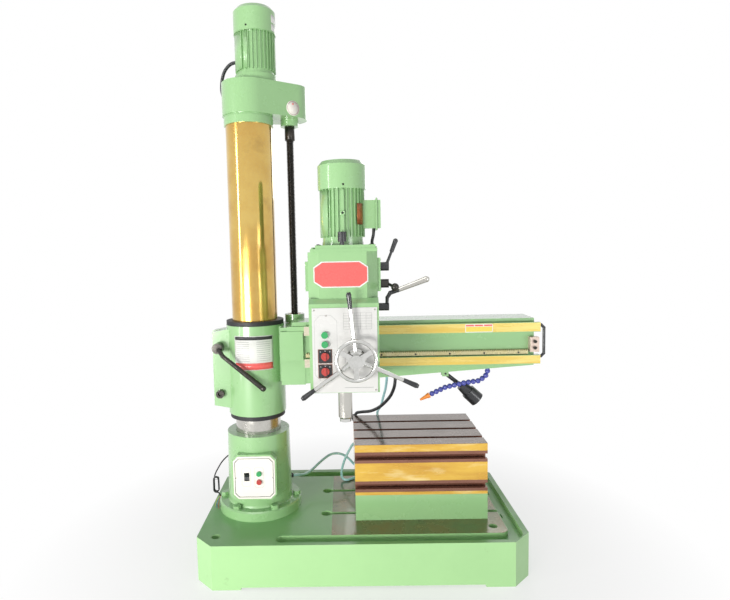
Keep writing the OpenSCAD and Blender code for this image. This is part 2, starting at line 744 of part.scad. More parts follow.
// The rack runs from the ways' left end to the end stop, in whole teeth that meet the pinion
stop_w = 38;
stop_t = 28;
stop_h = 63;
stop_x0 = way_x1 - stop_w - 4;
stop_z0 = 887;
stop_bolts_z = [stop_z0 + 18, stop_z0 + 45];
module arm_rack() {
    p = PI * mod_t;
    first = wheel_x - floor((wheel_x - rack_x0) / p - 0.5) * p;
    teeth = floor((stop_x0 - gap - first) / p + 0.5);
    color(steel) translate([first, arm_y0, rack_pitch_z]) rotate([90, 0, 0])
        linear_extrude(rack_t) rack_2d(mod_t, teeth, 16);
}
module lift_nut() {
    color("#c6a15b") translate([screw_x, screw_y, nut_boss_top - 47]) difference() {
        cylinder(r = nut_r, h = 46);
        translate([0, 0, -1]) cylinder(r = screw_r + run_fit, h = 60);
    }
}
module end_stop() {
    color(steel) translate([stop_x0, arm_y0 - stop_t, stop_z0]) cube([stop_w, stop_t, stop_h]);
}
module socket_head(r, h) {
    difference() {
        cylinder(r = r, h = h);
        translate([0, 0, h / 2]) cylinder(r = r * 0.55, h = h, $fn = 6);
    }
}
module arm_bolts() {
    color(black) {
        for (z = stop_bolts_z) translate([stop_x0 + stop_w / 2, arm_y0 - stop_t, z])
            rotate([90, 0, 0]) socket_head(7, 8);
        translate([ear_x, -70, lower_bolt_z]) rotate([90, 0, 0]) socket_head(18, 20);
        rod_y(ear_x, -71, lower_bolt_z, clamp_r - run_fit, 136);
        translate([ear_x, 45, lower_bolt_z]) rotate([-90, 0, 0]) hex_head(36, 16);
    }
}
module arm_handle() {
    handle_y = -123;
    bends = [[way_x1, 1000], [way_x1 + 8, 1000], [way_x1 + 20, 988], [way_x1 + 20, 878], [way_x1 + 8, 866],
        [way_x1, 866]];
    color(black) {
        for (i = [0 : len(bends) - 2])
            bar([bends[i].x, handle_y, bends[i].y], [bends[i + 1].x, handle_y, bends[i + 1].y], 6, 6);
        for (i = [1 : len(bends) - 2]) translate([bends[i].x, handle_y, bends[i].y]) sphere(r = 6.4);
    }
}

// Clamp lever on the upper bolt of the split sleeve
module clamp_lever() {
    knee = [-572, -146, 894];
    tip = [-404, -151, 753];
    color(steel) {
        rod_y(ear_x, -112, lever_z, 23, 112 - 70 - gap);
        rod_y(ear_x, -72, lever_z, clamp_r - run_fit, 130);
        rod_y(ear_x, 45 + gap, lever_z, 17, 14);
        bar([ear_x, -98, lever_z], knee, 11, 9);
        translate(knee) sphere(r = 9.7);
        bar(knee, tip, 9, 12);
        translate(tip) sphere(r = 12.6);
    }
}

// Work lamp: stem on a friction pivot, cap, flared shade and bulb
module work_lamp() {
    p = [lamp_pivot.x, lamp_y, lamp_pivot.y];
    elbow = [462, lamp_y, 720];
    mouth = [524, lamp_y, 662];
    axis = unit(mouth - elbow);
    color(black) {
        rod_y(p.x, lamp_y - 13 + 2.5 + gap, p.z, 10, 21 - 2 * gap);
        rod_y(p.x, lamp_y - 18, p.z, 4, 36);
        bar(p, elbow, 9, 9);
        bar(elbow - 12 * axis, elbow + 30 * axis, 22, 27);
        difference() {
            bar(elbow + 29 * axis, mouth, 32, 33);
            bar(elbow + 40 * axis, mouth + 2 * axis, 30, 31);
        }
    }
    color("#f2efe2") {
        bar(elbow + 39.5 * axis, elbow + 52 * axis, 13, 13);
        translate(elbow + 60 * axis) sphere(r = 19);
    }
}

// Jointed coolant hose: equal ball segments along a bent path under the arm
hose_bends = [[318, 705], [376, 732], [458, 750], [520, 758], [548, 776], [557, 800]];
ball_r = 11.5;
balls_n = 14;
function run(p, i) = i == 0 ? 0 : run(p, i - 1) + norm(p[i] - p[i - 1]);
function along(p, s, i = 1) =
    i == len(p) - 1 || s <= run(p, i)
    ? p[i - 1] + (p[i] - p[i - 1]) * (s - run(p, i - 1)) / norm(p[i] - p[i - 1])
    : along(p, s, i + 1);
hose_len = run(hose_bends, len(hose_bends) - 1);
module coolant_joints() {
    color("#5a62b8") {
        for (i = [0 : balls_n - 1]) let (q = along(hose_bends, hose_len * i / (balls_n - 1)))
            translate([q.x, hose_y, q[1]]) sphere(r = ball_r, $fn = 32);
        translate([hose_top_x, hose_y, hose_bends[5][1]])
            cylinder(r = 9, h = under(hose_top_x - 10) - hose_bends[5][1]);
    }
}
nozzle_at = hose_bends[0];
module coolant_nozzle() {
    a = [nozzle_at.x, hose_y, nozzle_at[1]];
    d = unit([268, hose_y, 679] - a);
    color("#e08a35") difference() {
        union() {
            bar(a + (ball_r + gap) * d, a + 26 * d, 12, 10);
            bar(a + 25 * d, a + 58 * d, 9, 4.5);
        }
        bar(a + 5 * d, a + 60 * d, 3, 2.2);
    }
}

// Lower casting of the head: quill bore, feed bore and the keepers that hook behind the ways
feed_bore_y = -262;
pinion_y0 = -305;
pinion_len = 30;
panel_buttons_x = -128;
run_z = 1021;
halt_z = 986;
knob_z = [941, 885];
ctl_y = -330;
speed_z = 1266;
ball_z = 1201;
clutch_z = 1111;
ctl_r = 8;
module head_casting() {
    back = head_back - gap;
    keep_y = arm_y0 - gap - back;
    tongue = groove - 2 * gap;
    color(enamel) difference() {
        union() {
            translate([head_x0, 0, 0]) rotate([90, 0, 90]) linear_extrude(head_w) polygon([
                [back, head_z0], [head_y0, head_z0], [head_y0, head_z1], [case_y0, case_z0], [back, case_z0]
            ]);
            translate([head_x0, back, way_hi + gap]) cube([head_w, keep_y, 10]);
            translate([head_x0, arm_y0 - gap - tongue, way_hi - groove_h + gap])
                cube([head_w, tongue, groove_h + 2]);
            translate([head_x0, back, way_lo - gap - 10]) cube([head_w, keep_y, 10]);
            translate([head_x0, arm_y0 - gap - tongue, way_lo - gap - 2])
                cube([head_w, tongue, groove_h + 2]);
        }
        translate([spin_x, spin_y, head_z0 - 1]) cylinder(r = quill_r + run_fit, h = case_z0);
        rod_y(wheel_x, head_y0 - 1, wheel_z, feed_r + run_fit, feed_bore_y - head_y0 + 1);
        rod_y(wheel_x, feed_bore_y - 1, wheel_z, shaft_r + run_fit, 200);
        rod_y(wheel_x, pinion_y0 - 1, wheel_z, mod_f * (teeth_f / 2 + 1) + 0.8, pinion_len + 2);
        for (z = [run_z, halt_z]) rod_y(panel_buttons_x, head_y0 - 1, z, 9 + run_fit, 26);
        for (z = knob_z) rod_y(panel_buttons_x, head_y0 - 1, z, 5 + run_fit, 26);
        translate([head_x1 - 30, ctl_y, clutch_z]) rotate([0, 90, 0]) cylinder(r = ctl_r + run_fit, h = 40);
    }
}

// Upper gear case with cut front corners
module gear_case() {
    back = -150;
    color(enamel) difference() {
        translate([0, 0, case_z0]) linear_extrude(case_z1 - case_z0) polygon([
            [case_x0, back], [case_x0, case_y0 + case_cut], [case_x0 + case_cut, case_y0],
            [case_x1 - case_cut, case_y0], [case_x1, case_y0 + case_cut], [case_x1, back]
        ]);
        translate([spin_x, spin_y, case_z0 - 1]) cylinder(r = 60, h = case_z1 - case_z0 + 2);
        for (z = [speed_z, ball_z])
            translate([case_x1 - 30, ctl_y, z]) rotate([0, 90, 0]) cylinder(r = ctl_r + run_fit, h = 40);
    }
}
module case_lid() {
    color(enamel) difference() {
        union() {
            translate([-176, -404, case_z1]) cube([248, 249, 12]);
            translate([-157, -402, case_z1 + 12]) cube([223, 233, lid_z - case_z1 - 12]);
            for (x = [-167, 69], y = [-370, -280, -190]) translate([x, y, case_z1 + 12])
                cylinder(r = x > 0 ? 3 : 6, h = 6);
        }
        translate([motor_x, spin_y, case_z1 - 1]) cylinder(r = 30, h = 30);
    }
}
module control_panel() {
    pw = 240;
    ph = 316;
    px = -174;
    pz = 804;
    color("#e9e7dc") difference() {
        translate([px, panel_y, pz]) cube([pw, head_y0 - panel_y, ph]);
        rod_y(wheel_x, panel_y - 1, wheel_z, feed_r + 1, 5);
        for (z = [run_z, halt_z]) rod_y(panel_buttons_x, panel_y - 1, z, 10, 5);
        for (z = knob_z) rod_y(panel_buttons_x, panel_y - 1, z, 5.5, 5);
    }
    color(black) for (z = knob_z) difference() {
        translate([panel_buttons_x - 24, panel_y - 2, z - 24]) cube([48, 2, 48]);
        rod_y(panel_buttons_x, panel_y - 3, z, 5.5, 5);
    }
}
module side_covers() {
    y0 = -355;
    y1 = -255;
    color(enamel) {
        translate([case_x0 - 11, y0, 1178]) cube([11, y1 - y0, 112]);
        difference() {
            translate([case_x1, y0, 1173]) cube([12, y1 - y0, 127]);
            for (z = [speed_z, ball_z])
                translate([case_x1 - 1, ctl_y, z]) rotate([0, 90, 0]) cylinder(r = ctl_r + run_fit, h = 20);
        }
    }
}
main_frame_h = 211;
module main_motor() {
    color(enamel) translate([motor_x, spin_y, lid_z]) {
        motor_frame(86, 80, 90 - gap, 12, 30, main_frame_h, 32);
        translate([66, -27, 62]) cube([80, 54, 107]);
    }
}
module motor_cowl() {
    color(enamel) translate([motor_x, spin_y, lid_z + main_frame_h]) fan_cowl(93, 106);
}
module oil_cap() {
    color(enamel) translate([-57, -393, lid_z]) {
        cylinder(r = 8, h = 12);
        translate([0, 0, 12]) cylinder(r = 16, h = 36);
    }
}
module main_rotor() {
    color(steel) translate([motor_x, spin_y, lid_z - 60]) rotor(370, 60 + main_frame_h + 30, 130, 240);
}

// Quill with its feed rack cut in the side, and the spindle that turns in it
module quill() {
    p = PI * mod_f;
    n = ceil((quill_stroke + 40) / p);
    z_first = wheel_z - 3.5 * p;
    color(steel) translate([spin_x, spin_y, 0]) difference() {
        translate([0, 0, quill_z0]) rotate_extrude() polygon([
            [spindle_r + run_fit, 0], [quill_r - 5, 0], [quill_r, 6],
            [quill_r, quill_z1 - quill_z0], [spindle_r + run_fit, quill_z1 - quill_z0]
        ]);
        translate([quill_pitch_x - spin_x, -17, z_first]) rotate(a = -120, v = [1, 1, 1])
            linear_extrude(34) difference() {
                translate([-p / 2, -1.25 * mod_f]) square([n * p, 20]);
                rack_2d(mod_f, n, 1.25 * mod_f + 1);
            }
    }
}
module spindle() {
    nose = 12;
    color(steel) translate([spin_x, spin_y, quill_z0 - gap - nose]) difference() {
        union() {
            cylinder(r = quill_r - 5, h = nose);
            cylinder(r = spindle_r, h = quill_z1 - quill_z0 + nose + 60);
        }
        translate([0, 0, -eps]) cylinder(r1 = 15.6, r2 = 12.6, h = 110);
    }
}

// Traverse handwheel, its shaft through the hollow feed shaft, and the pinion on the arm rack
wheel_y = -482;
module traverse_wheel() {
    rim = 7;
    color(steel) translate([wheel_x, 0, wheel_z]) {
        translate([0, wheel_y, 0]) rotate([90, 0, 0]) {
            rotate_extrude() translate([wheel_d / 2 - rim, 0]) circle(r = rim, $fn = 32);
            translate([0, 0, -11.7]) cylinder(r = 22, h = 24);
            for (a = [30, 150, 270]) rotate(a) translate([14, -9, -3.5])
                cube([wheel_d / 2 - rim - 16, 18, 7]);
        }
        rod_y(0, wheel_y, 0, shaft_r, arm_y0 - 2 - wheel_y);
        translate([0, arm_y0 - 2, 0]) rotate([90, 0, 0])
            linear_extrude(rack_t - 2 - gap) polygon(gear_points(mod_t, teeth_t));
    }
}
lever_a0 = 95.5;
star_y = -457;
module feed_star() {
    color(steel) translate([wheel_x, 0, wheel_z]) difference() {
        union() {
            rod_y(0, -470, 0, 32, 470 - 445);
            rod_y(0, -446, 0, 38, 446 + panel_y - gap);
            rod_y(0, -470, 0, feed_r, 470 + feed_bore_y - gap);
            translate([0, pinion_y0 + pinion_len, 0]) rotate([90, 0, 0])
                linear_extrude(pinion_len) polygon(gear_points(mod_f, teeth_f));
            for (i = [0 : 2]) let (u = [cos(lever_a0 + 120 * i), 0, sin(lever_a0 + 120 * i)]) {
                bar([0, star_y, 0] + 24 * u, [0, star_y, 0] + (lever_r - 60) * u, 9, 7);
                bar([0, star_y, 0] + (lever_r - 62) * u, [0, star_y, 0] + (lever_r - 4) * u, 5, 5);
            }
        }
        rod_y(0, -480, 0, shaft_r + run_fit, 300);
    }
}
module feed_grips() {
    color(black) for (i = [0 : 2]) let (u = [cos(lever_a0 + 120 * i), 0, sin(lever_a0 + 120 * i)])
        translate([wheel_x, star_y, wheel_z]) difference() {
            union() {
                bar((lever_r - 60) * u, (lever_r - 8) * u, 8, 10);
                bar((lever_r - 9) * u, lever_r * u, 9.6, 7);
            }
            bar((lever_r - 61) * u, (lever_r - 4) * u, 5 + run_fit, 5 + run_fit);
        }
}

// Control levers on the right side, each turning on its own shaft along X
module side_hub(x0, x1, z, r) {
    translate([x0 + gap, ctl_y, z]) rotate([0, 90, 0]) cylinder(r = r, h = x1 - x0 - gap);
    translate([case_x1 - 28, ctl_y, z]) rotate([0, 90, 0]) cylinder(r = ctl_r, h = x0 - case_x1 + 30);
}
module speed_lever() {
    color(black) {
        side_hub(case_x1 + 12, 119, speed_z, 17);
        bar([108, ctl_y, speed_z], [131, ctl_y, 1323], 6, 5);
        bar([130, ctl_y, 1320], [146, ctl_y, 1362], 8, 9);
        translate([146, ctl_y, 1362]) sphere(r = 9.6);
    }
}
module ball_lever() {
    color(steel) {
        side_hub(case_x1 + 12, 118, ball_z, 17);
        bar([112, ctl_y, ball_z], [136, -372, 1190], 6, 6);
        translate([138, -376, 1189]) sphere(r = 15);
    }
}
module clutch_lever() {
    bends = [[110, ctl_y, clutch_z + 4], [112, ctl_y, 1146], [124, ctl_y, 1164], [152, ctl_y, 1174],
        [262, ctl_y, 1214]];
    color(steel) {
        side_hub(head_x1, 118, clutch_z, 15);
        for (i = [0 : 3]) {
            bar(bends[i], bends[i + 1], 6 + i, i == 3 ? 12 : 7 + i);
            if (i < 3) translate(bends[i + 1]) sphere(r = 7.6 + i);
        }
        translate(bends[4]) sphere(r = 12.5);
    }
}

// Panel controls
module panel_button(z, colour) {
    color(colour) {
        rod_y(panel_buttons_x, panel_y - 10, z, 9, 28);
        rod_y(panel_buttons_x, panel_y - 12, z, 12.5, 6);
    }
}
module run_button() { panel_button(run_z, "#3f9c4a"); }
module halt_button() { panel_button(halt_z, "#3f9c4a"); }
module panel_knob(z, colour) {
    color(colour) {
        rod_y(panel_buttons_x, panel_y - 6, z, 5, 26);
        rod_y(panel_buttons_x, panel_y - 9, z, 15, 7 - gap);
        translate([panel_buttons_x - 4, panel_y - 15, z - 15]) cube([8, 8, 30]);
    }
}
module coolant_switch() { panel_knob(knob_z[0], "#b8312b"); }
module lift_switch() { panel_knob(knob_z[1], "#b8312b"); }

base_casting();
work_table();
column_foot();
foot_bolts();
inner_column();
column_bearings();
switch_cover();
foot_glands();
supply_cable();
cable_hank();
cable_cores();
hose_lower();
conduit_lower();
mains_rocker();
start_button();
stop_button();
outer_column();
column_collar();
lift_gearbox();
gearbox_lid();
lift_motor();
lift_motor_cowl();
lift_conduit();
lift_rotor();
lead_screw();
arm_casting();
sleeve_rings();
arm_rack();
lift_nut();
end_stop();
arm_bolts();
arm_handle();
hose_upper();
conduit_upper();
clamp_lever();
work_lamp();
coolant_joints();
coolant_nozzle();
head_casting();
gear_case();
case_lid();
control_panel();
side_covers();
main_motor();
motor_cowl();
motor_cable();
oil_cap();
main_rotor();
quill();
spindle();
traverse_wheel();
feed_star();
feed_grips();
speed_lever();
ball_lever();
clutch_lever();
run_button();
halt_button();
coolant_switch();
lift_switch();
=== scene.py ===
"""Looks of a radial arm drill: finishes, cords, plates, threads and small fittings around the fixed frame."""
import math

import bmesh
import bpy
from mathutils import Matrix, Vector


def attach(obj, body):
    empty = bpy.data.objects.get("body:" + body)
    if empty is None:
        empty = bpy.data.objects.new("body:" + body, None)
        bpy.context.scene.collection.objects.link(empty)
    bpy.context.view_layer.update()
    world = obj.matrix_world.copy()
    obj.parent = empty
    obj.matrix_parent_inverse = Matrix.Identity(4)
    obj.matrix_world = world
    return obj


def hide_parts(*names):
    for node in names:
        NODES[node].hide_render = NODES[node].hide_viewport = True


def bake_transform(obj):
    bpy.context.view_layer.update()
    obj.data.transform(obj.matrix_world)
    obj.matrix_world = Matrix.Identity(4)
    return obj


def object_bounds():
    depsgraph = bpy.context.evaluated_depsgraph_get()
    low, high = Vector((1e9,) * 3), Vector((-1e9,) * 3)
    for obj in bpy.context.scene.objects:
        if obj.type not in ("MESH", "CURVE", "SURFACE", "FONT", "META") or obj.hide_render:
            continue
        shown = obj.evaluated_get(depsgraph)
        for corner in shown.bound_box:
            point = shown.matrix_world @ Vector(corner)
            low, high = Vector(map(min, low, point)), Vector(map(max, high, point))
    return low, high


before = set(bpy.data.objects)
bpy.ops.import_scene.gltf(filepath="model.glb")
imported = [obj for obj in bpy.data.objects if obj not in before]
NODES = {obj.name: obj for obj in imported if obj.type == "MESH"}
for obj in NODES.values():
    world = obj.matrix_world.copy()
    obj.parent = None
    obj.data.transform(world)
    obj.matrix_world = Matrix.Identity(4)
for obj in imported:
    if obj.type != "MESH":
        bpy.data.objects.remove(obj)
cad_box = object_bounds()
MM = 0.001

# Camera of the photograph: place in metres, turn, tilt and roll in radians, focal length in pixels
IMAGE_W = 730
IMAGE_H = 600
FOCAL_PX = 548.4
CENTRE_PX = (337.2, 296.0)
CAMERA_AT = Vector((-0.0527, -2.4301, 1.3304))
CAMERA_YAW = -0.013
CAMERA_PITCH = 0.083
CAMERA_ROLL = -0.021


def make_camera():
    forward = Vector((math.sin(CAMERA_YAW), math.cos(CAMERA_YAW), 0))
    right = Vector((math.cos(CAMERA_YAW), -math.sin(CAMERA_YAW), 0))
    up = Vector((0, 0, 1))
    ahead = forward * math.cos(CAMERA_PITCH) - up * math.sin(CAMERA_PITCH)
    above = up * math.cos(CAMERA_PITCH) + forward * math.sin(CAMERA_PITCH)
    x_axis = right * math.cos(CAMERA_ROLL) + above * math.sin(CAMERA_ROLL)
    y_axis = above * math.cos(CAMERA_ROLL) - right * math.sin(CAMERA_ROLL)
    data = bpy.data.cameras.new("camera")
    data.sensor_width = 36
    data.lens = 36 * FOCAL_PX / IMAGE_W
    data.shift_x = (IMAGE_W / 2 - CENTRE_PX[0]) / IMAGE_W
    data.shift_y = (CENTRE_PX[1] - IMAGE_H / 2) / IMAGE_W
    data.clip_start = 0.05
    camera = bpy.data.objects.new("camera", data)
    bpy.context.scene.collection.objects.link(camera)
    turn = Matrix((x_axis, y_axis, -ahead)).transposed()
    camera.matrix_world = Matrix.Translation(CAMERA_AT) @ turn.to_4x4()
    bpy.context.scene.camera = camera


make_camera()


# Mesh helpers
def new_piece(name, bm, smooth=True):
    bmesh.ops.recalc_face_normals(bm, faces=bm.faces)
    mesh = bpy.data.meshes.new(name)
    bm.to_mesh(mesh)
    bm.free()
    for face in mesh.polygons:
        face.use_smooth = smooth
    piece = bpy.data.objects.new(name, mesh)
    bpy.context.scene.collection.objects.link(piece)
    return piece


def dress(piece, body, finish):
    piece.data.materials.clear()
    piece.data.materials.append(finish)
    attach(piece, body)
    return piece


def smooth_path(points, steps):
    """A curve through given points, in metres."""
    path = []
    for i in range(len(points) - 1):
        a = Vector(points[max(i - 1, 0)])
        b = Vector(points[i])
        c = Vector(points[i + 1])
        d = Vector(points[min(i + 2, len(points) - 1)])
        for s in range(steps):
            t = s / steps
            q = 2 * b + (c - a) * t + (2 * a - 5 * b + 4 * c - d) * t * t + (3 * b - a - 3 * c + d) * t ** 3
            path.append(q * 0.5 * MM)
    path.append(Vector(points[-1]) * MM)
    return path


def path_length(path):
    return sum((b - a).length for a, b in zip(path, path[1:]))


def resample(path, step):
    """The same path with points a steady distance apart."""
    total = path_length(path)
    count = max(2, round(total / step))
    result = []
    i = 0
    gone = 0.0
    for k in range(count + 1):
        want = total * k / count
        while i < len(path) - 2 and gone + (path[i + 1] - path[i]).length < want:
            gone += (path[i + 1] - path[i]).length
            i += 1
        seg = path[i + 1] - path[i]
        result.append(path[i] + seg * min(1, (want - gone) / max(seg.length, 1e-9)))
    return result


def skin(bm, rings):
    """Faces between neighbouring rings, and a face over each end."""
    for a, b in zip(rings, rings[1:]):
        for k in range(len(a)):
            n = (k + 1) % len(a)
            bm.faces.new((a[k], a[n], b[n], b[k]))
    bm.faces.new(rings[0][::-1])
    bm.faces.new(rings[-1])


def sweep(bm, path, radius, sides=12):
    """A closed tube along a path; radius is a number or a function of the ring's index."""
    size = radius if callable(radius) else (lambda i: radius)
    normal = None
    rings = []
    for i, point in enumerate(path):
        tangent = (path[min(i + 1, len(path) - 1)] - path[max(i - 1, 0)]).normalized()
        if normal is None:
            guide = Vector((1, 0, 0)) if abs(tangent.z) > 0.9 else Vector((0, 0, 1))
            normal = tangent.cross(guide).normalized()
        normal = (normal - tangent * normal.dot(tangent)).normalized()
        side = tangent.cross(normal)
        ring = []
        for k in range(sides):
            a = 2 * math.pi * k / sides
            ring.append(bm.verts.new(point + size(i) * (math.cos(a) * normal + math.sin(a) * side)))
        rings.append(ring)
    skin(bm, rings)


def revolve(bm, profile, origin, axis, sides=32):
    """A closed solid from (radius, height) points turned round an axis; the ends meet the axis."""
    axis = Vector(axis).normalized()
    guide = Vector((1, 0, 0)) if abs(axis.x) < 0.9 else Vector((0, 0, 1))
    u = axis.cross(guide).normalized()
    v = axis.cross(u)
    origin = Vector(origin)
    rings = []
    for r, h in profile:
        if r <= 0:
            rings.append([bm.verts.new(origin + axis * h)])
            continue
        rings.append([
            bm.verts.new(origin + axis * h + r * (math.cos(2 * math.pi * k / sides) * u
                                                  + math.sin(2 * math.pi * k / sides) * v))
            for k in range(sides)
        ])
    for a, b in zip(rings, rings[1:]):
        for k in range(sides):
            n = (k + 1) % sides
            if len(a) == 1:
                bm.faces.new((a[0], b[k], b[n]))
            elif len(b) == 1:
                bm.faces.new((a[k], a[n], b[0]))
            else:
                bm.faces.new((a[k], a[n], b[n], b[k]))


def slab(bm, low, high, bevel=0.0):
    """A box with softened edges."""
    made = bmesh.ops.create_cube(bm, size=1)["verts"]
    low, high = Vector(low), Vector(high)
    for v in made:
        v.co = Vector([(low[i] + high[i]) / 2 + v.co[i] * (high[i] - low[i]) for i in range(3)])
    if bevel:
        edges = list({e for v in made for e in v.link_edges})
        bmesh.ops.bevel(bm, geom=edges, offset=bevel, segments=2, affect="EDGES", profile=0.5)


# Cords: the same routes as the solids, in millimetres
CORD_STEPS = 6
CORD_SIDES = 14
CABLE_R = 3.0
CORE_R = 1.2
SUPPLY_ROUTE = [
    (-585, 76, 390), (-594, 81, 389), (-606, 80, 384), (-625, 68, 371), (-642, 56, 354),
    (-656, 46, 332), (-668, 38, 310), (-673, 34, 292), (-674, 33, 276), (-674, 33, 262),
]
HANK_AT = (-663, 33, 262)
HANK_W = 22
HANK_H = 70
HANK_PITCH = 7
HANK_TURNS = 2.25
HANK_STEPS = 48
HANK_TAIL = [(-655, 17, 226.4), (-649, 16.6, 223), (-646, 16.2, 217), (-645, 16, 211)]
CORE_ROUTES = [
    [(-643.6, 16.8, 210.6), (-645, 9, 203), (-647, -2, 194), (-646, -20, 186), (-641, -38, 183.4),
     (-636, -54, 183.4)],
    [(-646.4, 16.8, 210.6), (-650, 8, 202), (-654, -6, 192), (-654, -20, 185), (-651, -32, 183.4),
     (-647, -44, 183.4)],
    [(-645, 14.4, 210.6), (-654, 10, 203), (-660, 2, 193), (-661, -8, 185.6), (-660, -18, 183.4),
     (-657, -28, 183.4)],
]
HOSE_R = 6.0
HOSE_LOW = [
    (-308, 53, 288), (-297, 58, 287), (-280, 75, 281), (-256, 115, 268), (-228, 160, 268),
    (-197, 200, 283), (-166, 235, 297), (-136, 255, 308), (-103, 265, 309), (-72, 270, 298),
    (-46, 275, 276), (-18, 280, 244), (8, 286, 226), (36, 292, 232), (54, 298, 262),
    (54, 298, 306), (38, 294, 346), (10, 288, 364), (-22, 281, 351), (-45, 275, 317),
    (-66, 267, 277), (-80, 254, 238), (-84, 238, 208), (-76, 226, 192), (-58, 222, 188.4),
    (-38, 234, 188.4), (-14, 254, 188.4), (10, 264, 188.4), (40, 278, 196), (74, 280, 226),
    (94, 268, 280), (101, 256, 340), (102, 256, 400), (101, 256, 440), (101, 256, 472), (101, 256, 505),
]
HOSE_UP = [
    (101, 256, 505.4), (101, 256, 508), (101, 256, 511), (101, 254.5, 520), (106, 238, 539),
    (114, 172, 577), (121, 112, 635), (127, 52, 687), (130, 14, 730), (131, -4, 762), (131, -5, 784.3),
]
CONDUIT_R = 7.5
RIB_PITCH = 4.2
CONDUIT_LOW = [
    (-18, 262, 503), (-24, 270, 499), (-22, 276, 486), (-12, 274, 462), (-2, 264, 430), (2, 256, 390),
    (4, 252, 340), (14, 252, 290), (36, 253, 246), (56, 254, 218), (60, 254, 206), (60, 254, 196.3),
]
CONDUIT_UP = [
    (-17.4, 261.2, 503.6), (-12.5, 254.8, 507.2), (-8, 249.4, 512.6), (-1, 241, 524), (22, 213, 536),
    (66, 152, 559), (108, 92, 599), (144, 32, 656), (160, -10, 705), (165, -34, 745), (166, -40, 785),
]
LIFT_CONDUIT_R = 8
LIFT_CONDUIT = [
    (-510.5, 50.1, 2160), (-518, 51, 2160), (-532, 54, 2156), (-548, 57, 2144), (-562, 60, 2126),
    (-572, 62, 2100), (-577, 63, 2070), (-577, 63, 2044), (-572, 61, 2022), (-565, 59, 2009),
    (-553, 54, 2002),
]


def hank_point(u):
    """Place at share u of one turn: two straights joined by half circles, down from the left middle."""
    r, half = HANK_W / 2, (HANK_H - HANK_W) / 2
    bend = math.pi * r
    s = (u % 1) * (4 * half + 2 * bend)
    if s < half:
        return -r, -s
    s -= half
    if s < bend:
        return -r * math.cos(s / r), -half - r * math.sin(s / r)
    s -= bend
    if s < 2 * half:
        return r, s - half
    s -= 2 * half
    if s < bend:
        return r * math.cos(s / r), half + r * math.sin(s / r)
    return -r, half - (s - bend)


def hank_path():
    path = []
    for i in range(int(HANK_STEPS * HANK_TURNS) + 1):
        t = i / HANK_STEPS
        x, z = hank_point(t)
        path.append(Vector((HANK_AT[0] + x, HANK_AT[1] - HANK_PITCH * t, HANK_AT[2] + z)) * MM)
    return path + [Vector(p) * MM for p in HANK_TAIL]


def tube_piece(name, path, radius, sides=12):
    bm = bmesh.new()
    sweep(bm, path, radius, sides)
    return new_piece(name, bm)


def ribbed(path, radius, pitch):
    """A corrugated tube: crests and valleys a quarter pitch apart."""
    fine = resample(path, pitch * MM / 4)
    depth = (1.0, 0.94, 0.86, 0.94)
    last = len(fine) - 1
    return fine, lambda i: radius * MM * (1.0 if i in (0, last) else depth[i % 4])


# Shared surface effects, each a node group that gives a mask or a height
def socket(group, name, kind, way, value=None):
    made = group.interface.new_socket(name=name, in_out=way, socket_type=kind)
    if value is not None:
        made.default_value = value
    return made


def group_mottle():
    """Soft patches, as thin oil or dust leaves them."""
    group = bpy.data.node_groups.new("oil_and_dust_patches", "ShaderNodeTree")
    socket(group, "Place", "NodeSocketVector", "INPUT")
    socket(group, "Size", "NodeSocketFloat", "INPUT", 6.0)
    socket(group, "From", "NodeSocketFloat", "INPUT", 0.4)
    socket(group, "To", "NodeSocketFloat", "INPUT", 0.7)
    socket(group, "Mask", "NodeSocketFloat", "OUTPUT")
    n, l = group.nodes, group.links
    enter, leave = n.new("NodeGroupInput"), n.new("NodeGroupOutput")
    noise, ramp = n.new("ShaderNodeTexNoise"), n.new("ShaderNodeMapRange")
    noise.inputs["Detail"].default_value = 6
    noise.inputs["Roughness"].default_value = 0.62
    l.new(enter.outputs["Place"], noise.inputs["Vector"])
    l.new(enter.outputs["Size"], noise.inputs["Scale"])
    l.new(noise.outputs["Fac"], ramp.inputs["Value"])
    l.new(enter.outputs["From"], ramp.inputs["From Min"])
    l.new(enter.outputs["To"], ramp.inputs["From Max"])
    l.new(ramp.outputs["Result"], leave.inputs["Mask"])
    return group


def group_grain():
    """Fine relief, drawn out along one way on ground and turned metal."""
    group = bpy.data.node_groups.new("fine_grain", "ShaderNodeTree")
    socket(group, "Place", "NodeSocketVector", "INPUT")
    socket(group, "Stretch", "NodeSocketVector", "INPUT", (1, 1, 1))
    socket(group, "Size", "NodeSocketFloat", "INPUT", 200.0)
    socket(group, "Height", "NodeSocketFloat", "OUTPUT")
    n, l = group.nodes, group.links
    enter, leave = n.new("NodeGroupInput"), n.new("NodeGroupOutput")
    scale, noise = n.new("ShaderNodeVectorMath"), n.new("ShaderNodeTexNoise")
    scale.operation = "MULTIPLY"
    noise.inputs["Detail"].default_value = 4
    l.new(enter.outputs["Place"], scale.inputs[0])
    l.new(enter.outputs["Stretch"], scale.inputs[1])
    l.new(scale.outputs["Vector"], noise.inputs["Vector"])
    l.new(enter.outputs["Size"], noise.inputs["Scale"])
    l.new(noise.outputs["Fac"], leave.inputs["Height"])
    return group


def group_top_shade():
    """One on faces that look up: the mask for painted shade on upward faces."""
    group = bpy.data.node_groups.new("painted_shade_on_upward_faces", "ShaderNodeTree")
    socket(group, "Mask", "NodeSocketFloat", "OUTPUT")
    n, l = group.nodes, group.links
    leave = n.new("NodeGroupOutput")
    shape, split = n.new("ShaderNodeNewGeometry"), n.new("ShaderNodeSeparateXYZ")
    ramp = n.new("ShaderNodeMapRange")
    ramp.inputs["From Min"].default_value = 0.55
    ramp.inputs["From Max"].default_value = 0.95
    l.new(shape.outputs["Normal"], split.inputs["Vector"])
    l.new(split.outputs["Z"], ramp.inputs["Value"])
    l.new(ramp.outputs["Result"], leave.inputs["Mask"])
    return group


